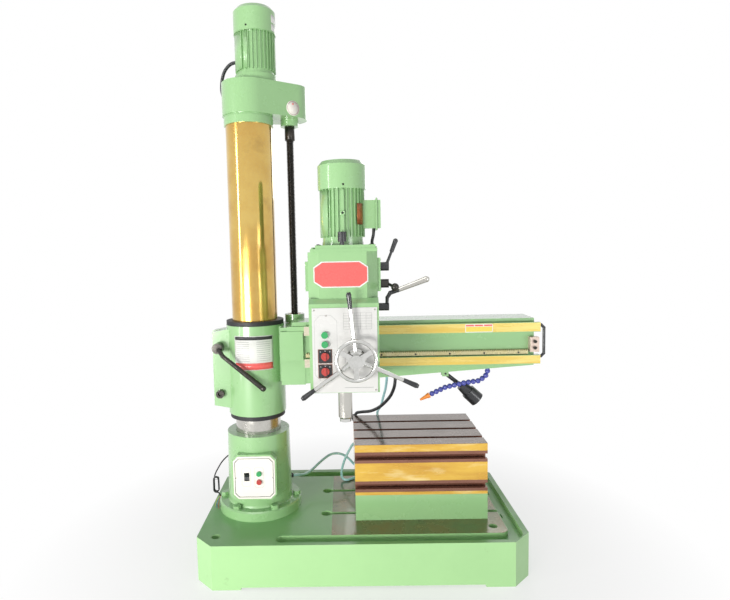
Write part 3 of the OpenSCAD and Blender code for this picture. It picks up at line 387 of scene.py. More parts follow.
def group_inside_box():
    """One inside a box, with a slightly soft and wandering edge."""
    group = bpy.data.node_groups.new("inside_a_box", "ShaderNodeTree")
    socket(group, "Place", "NodeSocketVector", "INPUT")
    socket(group, "Low", "NodeSocketVector", "INPUT")
    socket(group, "High", "NodeSocketVector", "INPUT")
    socket(group, "Mask", "NodeSocketFloat", "OUTPUT")
    n, l = group.nodes, group.links
    enter, leave = n.new("NodeGroupInput"), n.new("NodeGroupOutput")
    ends = []
    for name, first, second in (("Low", "Place", "Low"), ("High", "High", "Place")):
        gap, split = n.new("ShaderNodeVectorMath"), n.new("ShaderNodeSeparateXYZ")
        gap.operation = "SUBTRACT"
        l.new(enter.outputs[first], gap.inputs[0])
        l.new(enter.outputs[second], gap.inputs[1])
        l.new(gap.outputs["Vector"], split.inputs["Vector"])
        ends += [split.outputs[axis] for axis in "XYZ"]
    least = ends[0]
    for end in ends[1:]:
        smaller = n.new("ShaderNodeMath")
        smaller.operation = "MINIMUM"
        l.new(least, smaller.inputs[0])
        l.new(end, smaller.inputs[1])
        least = smaller.outputs[0]
    ramp = n.new("ShaderNodeMapRange")
    ramp.inputs["From Min"].default_value = -0.0003
    ramp.inputs["From Max"].default_value = 0.0003
    l.new(least, ramp.inputs["Value"])
    l.new(ramp.outputs["Result"], leave.inputs["Mask"])
    return group


INSIDE_BOX = group_inside_box()
MOTTLE = group_mottle()
GRAIN = group_grain()
TOP_SHADE = group_top_shade()


def colour(code):
    """A hexadecimal screen colour as linear light."""
    values = [int(code[i:i + 2], 16) / 255 for i in (0, 2, 4)]
    return [v / 12.92 if v <= 0.04045 else ((v + 0.055) / 1.055) ** 2.4 for v in values] + [1.0]


def mix(tree, factor, a, b, clamp=1.0):
    """Colour b over colour a by a mask; either may be a colour code or an output."""
    node = tree.nodes.new("ShaderNodeMix")
    node.data_type = "RGBA"
    if clamp != 1.0:
        part = tree.nodes.new("ShaderNodeMath")
        part.operation = "MULTIPLY"
        tree.links.new(factor, part.inputs[0])
        part.inputs[1].default_value = clamp
        factor = part.outputs[0]
    tree.links.new(factor, node.inputs["Factor"])
    for value, name in ((a, "A"), (b, "B")):
        target = next(s for s in node.inputs if s.name == name and s.type == "RGBA")
        if isinstance(value, str):
            target.default_value = colour(value)
        else:
            tree.links.new(value, target)
    return next(s for s in node.outputs if s.type == "RGBA")


PATCH_SPAN = (0.42, 0.68)
ROUGH_SPAN = 0.12
COAT_ROUGH = 0.06


def surface(tree, shader, base, patch, rough, metal=0.0, patch_size=5.0, patch_part=0.6, grain_size=180.0,
            stretch=(1, 1, 1), bump=0.06, top_shade=None, top_shade_part=0.7, coat=0.0, speck=None, streaks=(1, 1, 1)):
    """A painted, machined or moulded surface with patches, fine relief and, where given, painted shade on
    upward faces.
    """
    place = tree.nodes.new("ShaderNodeTexCoord").outputs["Object"]
    drawn = tree.nodes.new("ShaderNodeVectorMath")
    drawn.operation = "MULTIPLY"
    drawn.inputs[1].default_value = streaks
    tree.links.new(place, drawn.inputs[0])
    patches = tree.nodes.new("ShaderNodeGroup")
    patches.node_tree = MOTTLE
    tree.links.new(drawn.outputs["Vector"], patches.inputs["Place"])
    patches.inputs["Size"].default_value = patch_size
    patches.inputs["From"].default_value, patches.inputs["To"].default_value = PATCH_SPAN
    tone = mix(tree, patches.outputs["Mask"], base, patch, patch_part)
    # Upward faces take the darker top colour: painted shade.
    if top_shade:
        upward_shade = tree.nodes.new("ShaderNodeGroup")
        upward_shade.node_tree = TOP_SHADE
        tone = mix(tree, upward_shade.outputs["Mask"], tone, top_shade, top_shade_part)
    if speck:
        spots = tree.nodes.new("ShaderNodeGroup")
        spots.node_tree = MOTTLE
        tree.links.new(drawn.outputs["Vector"], spots.inputs["Place"])
        spots.inputs["Size"].default_value = speck[1]
        spots.inputs["From"].default_value, spots.inputs["To"].default_value = speck[2]
        tone = mix(tree, spots.outputs["Mask"], tone, speck[0], speck[3])
    tree.links.new(tone, shader.inputs["Base Color"])
    grain = tree.nodes.new("ShaderNodeGroup")
    grain.node_tree = GRAIN
    tree.links.new(place, grain.inputs["Place"])
    grain.inputs["Stretch"].default_value = stretch
    grain.inputs["Size"].default_value = grain_size
    relief = tree.nodes.new("ShaderNodeBump")
    relief.inputs["Strength"].default_value = bump
    relief.inputs["Distance"].default_value = 0.002
    tree.links.new(grain.outputs["Height"], relief.inputs["Height"])
    tree.links.new(relief.outputs["Normal"], shader.inputs["Normal"])
    span = tree.nodes.new("ShaderNodeMapRange")
    span.inputs["To Min"].default_value = max(rough - ROUGH_SPAN, 0.03)
    span.inputs["To Max"].default_value = min(rough + ROUGH_SPAN, 1.0)
    tree.links.new(patches.outputs["Mask"], span.inputs["Value"])
    tree.links.new(span.outputs["Result"], shader.inputs["Roughness"])
    shader.inputs["Metallic"].default_value = metal
    shader.inputs["Coat Weight"].default_value = coat
    shader.inputs["Coat Roughness"].default_value = COAT_ROUGH


def finish(name, base, patch, rough, **look):
    """A material of one surface."""
    made = bpy.data.materials.new(name)
    made.use_nodes = True
    surface(made.node_tree, made.node_tree.nodes["Principled BSDF"], base, patch, rough, **look)
    return made


def zoned(name, main, zones):
    """A material of several surfaces: each later one shows inside its own boxes, given in millimetres."""
    made = bpy.data.materials.new(name)
    made.use_nodes = True
    tree = made.node_tree
    shown = tree.nodes["Principled BSDF"]
    surface(tree, shown, **main)
    shown = shown.outputs["BSDF"]
    place = tree.nodes.new("ShaderNodeTexCoord").outputs["Object"]
    for look, boxes in zones:
        over = tree.nodes.new("ShaderNodeBsdfPrincipled")
        surface(tree, over, **look)
        for low, high in boxes:
            test = tree.nodes.new("ShaderNodeGroup")
            test.node_tree = INSIDE_BOX
            tree.links.new(place, test.inputs["Place"])
            test.inputs["Low"].default_value = [v * MM for v in low]
            test.inputs["High"].default_value = [v * MM for v in high]
            both = tree.nodes.new("ShaderNodeMixShader")
            tree.links.new(test.outputs["Mask"], both.inputs["Fac"])
            tree.links.new(shown, both.inputs[1])
            tree.links.new(over.outputs["BSDF"], both.inputs[2])
            shown = both.outputs["Shader"]
    tree.links.new(shown, tree.nodes["Material Output"].inputs["Surface"])
    return made


# Finishes, each with its own patches, grain and specks
# The one green paint in two copies. This darker copy, on the upper parts, is painted shade for the light
# falling off with height; its top colour is painted shade on upward faces.
SHADED_ENAMEL_LOOK = dict(
    base="8fb981", patch="84ae77", rough=0.3, patch_size=3.5, patch_part=0.4, top_shade="7aa873", top_shade_part=0.6,
    grain_size=260, bump=0.015, coat=0.6, speck=("6f9a66", 34, (0.68, 0.84), 0.3))
# A lighter copy of the same green paint for the low base: painted light. Its top colour is painted shade on
# the base's upward faces.
LIT_BASE_LOOK = dict(
    base="a0cb8e", patch="95c084", rough=0.4, patch_size=3, patch_part=0.5, top_shade="6a9f60", top_shade_part=0.9,
    grain_size=240, bump=0.03, coat=0.2, speck=("4d6f45", 16, (0.66, 0.84), 0.45))
PANEL_LOOK = dict(base="cccbc8", patch="c3c2be", rough=0.36, grain_size=300, bump=0.02)
TABLE_LOOK = dict(
    base="6d5545", patch="5b4536", rough=0.24, metal=0.25, patch_size=4, patch_part=0.9, grain_size=160,
    stretch=(1, 12, 1), bump=0.05, coat=0.5, speck=("8a5a3c", 9, (0.6, 0.75), 0.5), streaks=(1, 3, 1))
COLUMN_LOOK = dict(
    base="d8b866", patch="b98a3c", rough=0.16, metal=0.85, patch_size=3.2, patch_part=0.8, grain_size=120,
    stretch=(1, 1, 14), bump=0.03, coat=0.5, speck=("8a6a3a", 7, (0.62, 0.76), 0.4))
STEEL_LOOK = dict(
    base="c4c2bc", patch="a8a59e", rough=0.24, metal=0.9, patch_size=14, grain_size=300, bump=0.03,
    speck=("7d6f58", 40, (0.66, 0.78), 0.3))
BLACK_LOOK = dict(
    base="202124", patch="2b2c2f", rough=0.34, patch_size=50, grain_size=600, bump=0.03, coat=0.2)
WAY_LOOK = dict(
    base="dbb540", patch="e6dc92", rough=0.28, metal=0.2, patch_size=3, patch_part=0.8, grain_size=150,
    stretch=(1, 8, 8), bump=0.03, coat=0.4, speck=("a8872c", 9, (0.6, 0.76), 0.5), streaks=(0.5, 1, 6))
END_WAY_LOOK = dict(WAY_LOOK, base="cfc3b4", patch="b9ab99")
OIL_TOP_LOOK = dict(
    base="5e6a40", patch="7a5a2c", rough=0.26, metal=0.3, patch_size=5, patch_part=0.9, grain_size=160,
    stretch=(1, 10, 1), bump=0.08, coat=0.5, speck=("3c3d28", 14, (0.6, 0.75), 0.5))
OIL_SIDE_LOOK = dict(
    base="dfb445", patch="bd8526", rough=0.22, metal=0.25, patch_size=3.5, patch_part=0.75, grain_size=160,
    stretch=(1, 1, 5), bump=0.02, coat=0.5, speck=("f0dc9c", 4, (0.56, 0.7), 0.7), streaks=(1, 2, 5))
SLOT_LOOK = dict(
    base="8c5f4e", patch="6e4234", rough=0.3, metal=0.4, patch_size=6, patch_part=0.8, grain_size=160,
    bump=0.03, coat=0.3, streaks=(1, 3, 3))

# The darker copy of the green paint: painted shade.
SHADED_ENAMEL = finish("green_enamel_shaded_copy", **SHADED_ENAMEL_LOOK)
CREAM = finish("cream_enamel", "e6e1d8", "dad4ca", 0.4, grain_size=240, coat=0.2,
               speck=("9a9a80", 60, (0.64, 0.8), 0.4))
STEEL = finish("turned_steel", **STEEL_LOOK)
POLISHED = finish("polished_steel", "d6d6d3", "bcbcb8", 0.12, metal=1.0, patch_size=30, grain_size=300,
                  bump=0.02)
LEVER_STEEL = finish("lever_steel", "45433f", "33312e", 0.22, metal=0.8, patch_size=24, grain_size=300,
                     bump=0.02)
STOP_STEEL = finish("bare_stop_casting", "cdb9ad", "b9a090", 0.4, metal=0.35, patch_size=24, grain_size=200)
RACK_STEEL = finish("rack_steel", "c9bf95", "a89a62", 0.32, metal=0.6, patch_size=30, grain_size=300,
                    bump=0.05)
DARK_STEEL = finish("blackened_steel", "2f2d2b", "45403a", 0.35, metal=0.7, patch_size=40, grain_size=300,
                    bump=0.05)
BRONZE = finish("bronze", "b48a45", "97702f", 0.32, metal=0.9, patch_size=30, grain_size=300)
RUBBER = finish("black_rubber", "1b1b1d", "262628", 0.62, patch_size=60, grain_size=500, bump=0.08)
BLACK = finish("black_moulding", **BLACK_LOOK)
GREEN_BUTTON = finish("green_moulding", "2f9a58", "2a8a4e", 0.28, patch_size=60, grain_size=500, bump=0.02,
                      coat=0.3)
RED_KNOB = finish("red_moulding", "b23a33", "a0322c", 0.32, patch_size=60, grain_size=500, bump=0.03,
                  coat=0.3)
BLUE_BALLS = finish("blue_violet_moulding", "4b50a0", "41468f", 0.33, patch_size=60, grain_size=400,
                    bump=0.03)
ORANGE_TIP = finish("orange_moulding", "e0873a", "cf7830", 0.33, patch_size=60, grain_size=400, bump=0.03)
HOSE_BLUE = finish("blue_hose", "a6d3d6", "93c4c9", 0.25, patch_size=30, grain_size=300, bump=0.03, coat=0.3)
CORE_FINISHES = [
    finish("red_core", "b5382f", "a33129", 0.4, patch_size=80, grain_size=600),
    finish("blue_core", "3c6fb4", "3564a4", 0.4, patch_size=80, grain_size=600),
    finish("yellow_green_core", "b9c447", "a9b43e", 0.4, patch_size=80, grain_size=600),
]
LABEL = finish("yellow_label", "e2cd5e", "d6c04e", 0.35, patch_size=50, grain_size=400, bump=0.01)
INK = finish("dark_ink", "2c2c2e", "252527", 0.5, patch_size=50, grain_size=400, bump=0.01)
WHITE_LABEL = finish("white_label", "dddcd8", "d2d1cc", 0.3, patch_size=40, grain_size=400, bump=0.01,
                     coat=0.2)
ROSE_LABEL = finish("rose_red_label", "e4605c", "d9524e", 0.32, patch_size=30, grain_size=400, bump=0.01,
                    coat=0.2)
GREY_LINE = finish("grey_line", "9b9d9a", "8c8e8b", 0.45, patch_size=60, grain_size=400, bump=0.01)
BROWN_LINE = finish("brown_line", "7a4a35", "6c3f2c", 0.45, patch_size=60, grain_size=400, bump=0.01)
COPPER = finish("copper_nameplate", "a5633a", "8d5230", 0.3, metal=0.7, patch_size=30, grain_size=300,
                bump=0.02)

# Castings with machined or oiled parts; the corners are those of the solids, in millimetres
ARM_FINISH = zoned("arm_with_bare_ways", SHADED_ENAMEL_LOOK, [
    (WAY_LOOK, [((-226, -142, 974.5), (768, -120, 1011.5)), ((-226, -142, 838.5), (768, -120, 872.5))]),
    (END_WAY_LOOK, [((-227, -142, 974.5), (-196, -108, 1012)), ((-227, -142, 837.5), (-196, -108, 873))]),
])
TABLE_FINISH = zoned("table_with_oil_film", SHADED_ENAMEL_LOOK, [
    (OIL_SIDE_LOOK, [((-30, -190, 292), (545, 250, 520))]),
    (SLOT_LOOK, [((-30, y - 20, 470), (545, y + 20, 510.5)) for y in (-98, 15, 131)]
     + [((-30, -187, z - 24), (545, -140, z + 24)) for z in (455, 329)]),
    (TABLE_LOOK, [((-30, -190, 509.8), (545, 250, 520))]),
])
# The lighter copy of the green paint: painted light; the pad's oiled top is its own colour.
BASE_FINISH = zoned("lit_base_with_machined_pad", LIT_BASE_LOOK, [
    (OIL_TOP_LOOK, [((-124, -298, 181), (594, 285, 183))]),
])
COLUMN_FINISH = zoned("column_with_oil_film", COLUMN_LOOK, [
    (STEEL_LOOK, [((-600, -150, 470), (-300, 150, 655))]),
])
PANEL_FINISH = zoned("panel_with_switch_plates", PANEL_LOOK, [
    (BLACK_LOOK, [((-153, -433, z - 25), (-103, -430.3, z + 25)) for z in (941, 885)]),
])
CLUTCH_FINISH = zoned("clutch_lever_with_black_hub", STEEL_LOOK, [
    (BLACK_LOOK, [((60, -500, 1080), (158, -200, 1178))]),
])
CAD_FINISHES = {
    "base_casting": BASE_FINISH, "work_table": TABLE_FINISH, "column_foot": SHADED_ENAMEL, "foot_bolts": SHADED_ENAMEL,
    "inner_column": STEEL, "column_bearings": BRONZE, "switch_cover": CREAM, "foot_glands": BLACK,
    "mains_rocker": BLACK, "start_button": GREEN_BUTTON, "stop_button": RED_KNOB,
    "outer_column": COLUMN_FINISH, "column_collar": SHADED_ENAMEL, "lift_gearbox": SHADED_ENAMEL, "gearbox_lid": SHADED_ENAMEL,
    "lift_motor": SHADED_ENAMEL, "lift_motor_cowl": SHADED_ENAMEL, "lift_rotor": STEEL, "arm_casting": ARM_FINISH,
    "sleeve_rings": RUBBER, "arm_rack": RACK_STEEL, "lift_nut": BRONZE, "end_stop": STOP_STEEL,
    "arm_bolts": DARK_STEEL, "arm_handle": BLACK, "clamp_lever": LEVER_STEEL, "work_lamp": BLACK,
    "coolant_joints": BLUE_BALLS, "coolant_nozzle": ORANGE_TIP, "head_casting": SHADED_ENAMEL, "gear_case": SHADED_ENAMEL,
    "case_lid": SHADED_ENAMEL, "control_panel": PANEL_FINISH, "side_covers": SHADED_ENAMEL, "main_motor": SHADED_ENAMEL,
    "motor_cowl": SHADED_ENAMEL, "motor_cable": RUBBER, "oil_cap": BLACK, "main_rotor": STEEL, "quill": STEEL,
    "spindle": POLISHED, "traverse_wheel": POLISHED, "feed_star": POLISHED, "feed_grips": BLACK,
    "speed_lever": BLACK, "ball_lever": LEVER_STEEL, "clutch_lever": CLUTCH_FINISH,
    "run_button": GREEN_BUTTON, "halt_button": GREEN_BUTTON, "coolant_switch": RED_KNOB,
    "lift_switch": RED_KNOB,
}
for node_name, node_finish in CAD_FINISHES.items():
    node_mesh = NODES[node_name].data
    node_mesh.materials.clear()
    node_mesh.materials.append(node_finish)


def cord_piece(name, path, radius, finish_used, slot, body, nodes, shape=None, **facts):
    """A cord's mesh tube on a body, standing for its CAD solids."""
    piece = tube_piece(name, path, shape or radius * MM, CORD_SIDES)
    dress(piece, body, finish_used)
    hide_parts(*nodes)


def crossing(name, path, radius, finish_used, node, shape=None):
    """A hose between the column and the arm, as one mesh fixed in place and on no body."""
    piece = tube_piece(name, path, shape or radius * MM, CORD_SIDES)
    piece.data.materials.append(finish_used)
    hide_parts(node)
    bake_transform(piece)


core_pieces = []
for index, route in enumerate(CORE_ROUTES):
    core = tube_piece(f"cable_core_{index + 1}", smooth_path(route, CORD_STEPS), CORE_R * MM, 10)
    dress(core, "base", CORE_FINISHES[index])
    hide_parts("cable_cores")
    core_pieces.append(core)

supply_path = smooth_path(SUPPLY_ROUTE, CORD_STEPS) + hank_path()[1:]
cord_piece("supply_cable_run", resample(supply_path, 0.003), CABLE_R, RUBBER, "rubber", "base",
           ["supply_cable", "cable_hank"], far_end="bare", stiffness="limp", lay="hanging",
           with_pieces=core_pieces)
cord_piece("hose_lower_run", smooth_path(HOSE_LOW, CORD_STEPS), HOSE_R, HOSE_BLUE, "hose", "base",
           ["hose_lower"], far_end="object", stiffness="medium", lay="loose")
line, ribs = ribbed(smooth_path(CONDUIT_LOW[::-1], CORD_STEPS), CONDUIT_R, RIB_PITCH)
cord_piece("conduit_lower_run", line, CONDUIT_R, BLACK, "black_plastic", "base",
           ["conduit_lower"], shape=ribs, far_end="object", stiffness="medium", lay="loose")
crossing("hose_upper_run", smooth_path(HOSE_UP, CORD_STEPS), HOSE_R, HOSE_BLUE, "hose_upper")
line, ribs = ribbed(smooth_path(CONDUIT_UP, CORD_STEPS), CONDUIT_R, RIB_PITCH)
crossing("conduit_upper_run", line, CONDUIT_R, BLACK, "conduit_upper", ribs)

line, ribs = ribbed(smooth_path(LIFT_CONDUIT, CORD_STEPS), LIFT_CONDUIT_R, RIB_PITCH)
lift_conduit = tube_piece("lift_conduit_run", line, ribs, CORD_SIDES)
dress(lift_conduit, "column", BLACK)
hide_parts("lift_conduit")


# Small fittings laid out by a geometry tree: one screw form, set on points that carry the way it looks out
def screw_tree():
    tree = bpy.data.node_groups.new("screws_on_points", "GeometryNodeTree")
    face = tree.interface
    face.new_socket(name="Geometry", in_out="INPUT", socket_type="NodeSocketGeometry")
    for name, value in (("Head Radius", 0.004), ("Head Height", 0.002), ("Socket Radius", 0.002),
                        ("Socket Depth", 0.001)):
        face.new_socket(name=name, in_out="INPUT", socket_type="NodeSocketFloat").default_value = value
    face.new_socket(name="Finish", in_out="INPUT", socket_type="NodeSocketMaterial")
    face.new_socket(name="Geometry", in_out="OUTPUT", socket_type="NodeSocketGeometry")
    n, l = tree.nodes, tree.links
    enter, leave = n.new("NodeGroupInput"), n.new("NodeGroupOutput")

    def maths(operation, a, b):
        node = n.new("ShaderNodeMath")
        node.operation = operation
        for value, target in ((a, node.inputs[0]), (b, node.inputs[1])):
            if isinstance(value, (int, float)):
                target.default_value = value
            else:
                l.new(value, target)
        return node.outputs[0]

    def moved(mesh, height):
        place, shift = n.new("ShaderNodeCombineXYZ"), n.new("GeometryNodeTransform")
        l.new(height, place.inputs["Z"])
        l.new(mesh, shift.inputs["Geometry"])
        l.new(place.outputs["Vector"], shift.inputs["Translation"])
        return shift.outputs["Geometry"]

    head, pit = n.new("GeometryNodeMeshCone"), n.new("GeometryNodeMeshCone")
    cut = n.new("GeometryNodeMeshBoolean")
    head.inputs["Vertices"].default_value = 20
    pit.inputs["Vertices"].default_value = 6
    l.new(enter.outputs["Head Radius"], head.inputs["Radius Bottom"])
    l.new(maths("MULTIPLY", enter.outputs["Head Radius"], 0.86), head.inputs["Radius Top"])
    l.new(enter.outputs["Head Height"], head.inputs["Depth"])
    for end in ("Radius Bottom", "Radius Top"):
        l.new(enter.outputs["Socket Radius"], pit.inputs[end])
    l.new(enter.outputs["Socket Depth"], pit.inputs["Depth"])
    sunk = maths("MULTIPLY", enter.outputs["Socket Depth"], 0.9)
    base = maths("SUBTRACT", enter.outputs["Head Height"], sunk)
    l.new(head.outputs["Mesh"], cut.inputs["Mesh 1"])
    l.new(moved(pit.outputs["Mesh"], base), cut.inputs["Mesh 2"])
    set_on, turn, way = (n.new("GeometryNodeInstanceOnPoints"), n.new("FunctionNodeAlignRotationToVector"),
                         n.new("GeometryNodeInputNamedAttribute"))
    way.data_type = "FLOAT_VECTOR"
    way.inputs["Name"].default_value = "out"
    turn.axis = "Z"
    l.new(next(s for s in way.outputs if s.type == "VECTOR"), turn.inputs["Vector"])
    l.new(enter.outputs["Geometry"], set_on.inputs["Points"])
    l.new(cut.outputs["Mesh"], set_on.inputs["Instance"])
    l.new(turn.outputs["Rotation"], set_on.inputs["Rotation"])
    real, paint = n.new("GeometryNodeRealizeInstances"), n.new("GeometryNodeSetMaterial")
    l.new(set_on.outputs["Instances"], real.inputs["Geometry"])
    l.new(real.outputs["Geometry"], paint.inputs["Geometry"])
    l.new(enter.outputs["Finish"], paint.inputs["Material"])
    l.new(paint.outputs["Geometry"], leave.inputs["Geometry"])
    return tree


SCREWS = screw_tree()


def screws(name, body, finish_used, spots, radius, height):
    """One mesh of screw heads; each spot is a place in millimetres and the way the head looks."""
    points = bpy.data.meshes.new(name + "_places")
    points.from_pydata([[v * MM for v in place] for place, _ in spots], [], [])
    out = points.attributes.new("out", "FLOAT_VECTOR", "POINT")
    for i, (_, way) in enumerate(spots):
        out.data[i].vector = way
    holder = bpy.data.objects.new(name + "_points", points)
    bpy.context.scene.collection.objects.link(holder)
    modifier = holder.modifiers.new("screws", "NODES")
    modifier.node_group = SCREWS
    sizes = {"Head Radius": radius * MM, "Head Height": height * MM, "Socket Radius": radius * 0.45 * MM,
             "Socket Depth": height * 0.6 * MM, "Finish": finish_used}
    for item in SCREWS.interface.items_tree:
        if item.in_out == "INPUT" and item.name in sizes:
            modifier[item.identifier] = sizes[item.name]
    made = bpy.data.meshes.new_from_object(holder.evaluated_get(bpy.context.evaluated_depsgraph_get()))
    bpy.data.objects.remove(holder)
    made.name = name
    made.validate()
    piece = bpy.data.objects.new(name, made)
    bpy.context.scene.collection.objects.link(piece)
    if not made.materials:
        made.materials.append(finish_used)
    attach(piece, body)


FRONT, RIGHT, LEFT, UP = (0, -1, 0), (1, 0, 0), (-1, 0, 0), (0, 0, 1)
PANEL_FACE = -430
SWITCH_FACE = -163
CASE_FACE = -406
KNOB_HEIGHTS = (941, 885)
screws("panel_screws", "head", STEEL,
       [((x, PANEL_FACE, z), FRONT) for x in (-166, 58) for z in (812, 1112)]
       + [((-122, PANEL_FACE, 1092), FRONT), ((-118, PANEL_FACE, 846), FRONT)], 3.6, 1.8)
screws("switch_plate_screws", "base", STEEL,
       [((x, SWITCH_FACE, 369), FRONT) for x in (-533, -373)], 3.6, 1.8)
screws("rack_screws", "arm", DARK_STEEL,
       [((x, -128, 884), FRONT) for x in range(-190, 720, 145)], 4.2, 1.0)
screws("side_cover_screws", "head", STEEL,
       [((-199, y, z), LEFT) for y in (-345, -265) for z in (1188, 1280)]
       + [((86, y, z), RIGHT) for y in (-347, -263) for z in (1181, 1292)], 4, 2.4)


def plate(bm, low, high, cut_x, cut_z):
    """An eight-sided plate that faces the operator, from its low and high corners in millimetres."""
    x0, y0, z0 = low
    x1, y1, z1 = high
    outline = [(x0 + cut_x, z0), (x1 - cut_x, z0), (x1, z0 + cut_z), (x1, z1 - cut_z),
               (x1 - cut_x, z1), (x0 + cut_x, z1), (x0, z1 - cut_z), (x0, z0 + cut_z)]
    front = [bm.verts.new(Vector((x, y0, z)) * MM) for x, z in outline]
    back = [bm.verts.new(Vector((x, y1, z)) * MM) for x, z in outline]
    bm.faces.new(front)
    bm.faces.new(back[::-1])
    for i in range(8):
        j = (i + 1) % 8
        bm.faces.new((front[i], back[i], back[j], front[j]))


def plates(name, body, finish_used, shapes):
    bm = bmesh.new()
    for low, high, cut_x, cut_z in shapes:
        plate(bm, low, high, cut_x, cut_z)
    dress(new_piece(name, bm, smooth=False), body, finish_used)


plates("case_plate_border", "head", WHITE_LABEL,
       [((-165, CASE_FACE, 1193), (37, CASE_FACE + 1, 1290), 30, 21)])
plates("case_plate", "head", ROSE_LABEL,
       [((-161, CASE_FACE - 0.8, 1197), (33, CASE_FACE, 1286), 29, 20)])
plates("arm_plate", "arm", WHITE_LABEL, [((452, -140.22, 974.5), (568, -140, 1010), 3, 3)])
plates("arm_plate_bands", "arm", ROSE_LABEL,
       [((455 + 38 * i, -140.27, 1001), (489 + 38 * i, -140.22, 1007), 0.5, 0.5) for i in range(3)])
plates("arm_plate_field", "arm", LABEL,
       [((455, -140.27, 977.5), (565, -140.22, 999), 0.5, 0.5)])


def curved_plate(bm, centre, radius, span, heights, thick, steps=16):
    """A thin plate on an upright round face; the angle runs from the operator's side towards +X."""
    sides = []
    for r in (radius, radius + thick):
        grid = []
        for z in heights:
            grid.append([
                bm.verts.new(Vector((centre[0] + r * math.sin(a), centre[1] - r * math.cos(a), z)) * MM)
                for a in (math.radians(span[0] + (span[1] - span[0]) * k / steps) for k in range(steps + 1))
            ])
        sides.append(grid)
    inner, outer = sides
    for k in range(steps):
        bm.faces.new((outer[0][k], outer[0][k + 1], outer[1][k + 1], outer[1][k]))
        bm.faces.new((inner[0][k], inner[1][k], inner[1][k + 1], inner[0][k + 1]))
        bm.faces.new((inner[0][k], inner[0][k + 1], outer[0][k + 1], outer[0][k]))
        bm.faces.new((inner[1][k], outer[1][k], outer[1][k + 1], inner[1][k + 1]))
    for k in (0, steps):
        bm.faces.new((inner[0][k], outer[0][k], outer[1][k], inner[1][k]))


def curved_plates(name, body, finish_used, centre, shapes):
    bm = bmesh.new()
    for radius, span, heights, thick in shapes:
        curved_plate(bm, centre, radius, span, heights, thick)
    dress(new_piece(name, bm), body, finish_used)


SLEEVE = (-453, 0)
curved_plates("sleeve_plate", "arm", WHITE_LABEL, SLEEVE, [(127, (-36, 44), (826, 974), 0.6)])
curved_plates("sleeve_plate_band", "arm", ROSE_LABEL, SLEEVE,
              [(127.6, (-34.5, 42.5), (829, 857), 0.3)])
curved_plates("sleeve_plate_head", "arm", INK, SLEEVE, [(127.6, (-34, 42), (957, 971), 0.3)])
curved_plates("sleeve_plate_lines", "arm", GREY_LINE, SLEEVE, [
    (127.6, (start, start + 27), (z, z + 1.6), 0.25) for start in (-31, 10) for z in range(866, 950, 9)])
CHART_LINE = 0.8
plates("panel_chart", "head", GREY_LINE,
       [((-58, PANEL_FACE - 0.4, z), (46, PANEL_FACE, z + CHART_LINE), 0.1, 0.1)
        for z in range(1040, 1101, 10)]
       + [((x, PANEL_FACE - 0.4, 1040), (x + CHART_LINE, PANEL_FACE, 1100.8), 0.1, 0.1)
          for x in (-58, -38, -17, 4, 25, 45.2)])


def ring_line(name, corners, width, finish_used, body, y, cut):
    """A thin painted line round an eight-sided field, made of flat bars that meet at its corners."""
    (x0, z0), (x1, z1) = corners
    outer = [(x0 + cut, z0), (x1 - cut, z0), (x1, z0 + cut), (x1, z1 - cut),
             (x1 - cut, z1), (x0 + cut, z1), (x0, z1 - cut), (x0, z0 + cut)]
    centre = ((x0 + x1) / 2, (z0 + z1) / 2)
    shrink = [(centre[0] + (x - centre[0]) * (1 - 2 * width / (x1 - x0)),
               centre[1] + (z - centre[1]) * (1 - 2 * width / (z1 - z0))) for x, z in outer]
    bm = bmesh.new()
    loops = [[bm.verts.new(Vector((x, d, z)) * MM) for x, z in line]
             for d in (y - 0.3, y) for line in (outer, shrink)]
    front_out, front_in, back_out, back_in = loops
    for i in range(8):
        j = (i + 1) % 8
        bm.faces.new((front_out[i], front_out[j], front_in[j], front_in[i]))
        bm.faces.new((back_out[i], back_in[i], back_in[j], back_out[j]))
        bm.faces.new((front_out[i], back_out[i], back_out[j], front_out[j]))
        bm.faces.new((front_in[i], front_in[j], back_in[j], back_in[i]))
    dress(new_piece(name, bm, smooth=False), body, finish_used)


ring_line("panel_field_line", ((-166, 848), (-82, 1094)), 0.9, GREY_LINE, "head", PANEL_FACE, 22)
ring_line("switch_plate_line", ((-536, 284), (-370, 454)), 2.2, INK, "base", SWITCH_FACE, 17)
for index, field in enumerate((((-506, 332), (-468, 414)), ((-452, 326), (-412, 414)))):
    ring_line(f"switch_field_line_{index + 1}", field, 0.8, GREY_LINE, "base", SWITCH_FACE, 6)
for index, z in enumerate(KNOB_HEIGHTS):
    ring_line(f"knob_plate_line_{index + 1}", ((-154.5, z - 26.5), (-101.5, z + 26.5)), 2.4, BROWN_LINE,
              "head", PANEL_FACE, 0.5)
plates("knob_marks", "head", WHITE_LABEL,
       [((-128 + dx - 2.2, -432.15, z + dz - 0.8), (-128 + dx + 2.2, -432, z + dz + 0.8), 0.1, 0.1)
        for z in KNOB_HEIGHTS for dx, dz in ((-17, 17), (0, 20), (17, 17))])
plates("panel_strip", "head", GREY_LINE,
       [((-58, PANEL_FACE - 0.3, 821), (50, PANEL_FACE, 823), 0.1, 0.1)])


# Round label on the gearbox's flank, motor nameplates, ribs and bosses
def turned(name, body, finish_used, origin, axis, profile, sides=36):
    bm = bmesh.new()
    revolve(bm, [(r * MM, h * MM) for r, h in profile], Vector(origin) * MM, axis, sides)
    dress(new_piece(name, bm), body, finish_used)


def boxes(name, body, slot, finish_used, shapes, bevel):
    bm = bmesh.new()
    for low, high in shapes:
        slab(bm, [v * MM for v in low], [v * MM for v in high], bevel * MM)
    dress(new_piece(name, bm, smooth=False), body, finish_used)


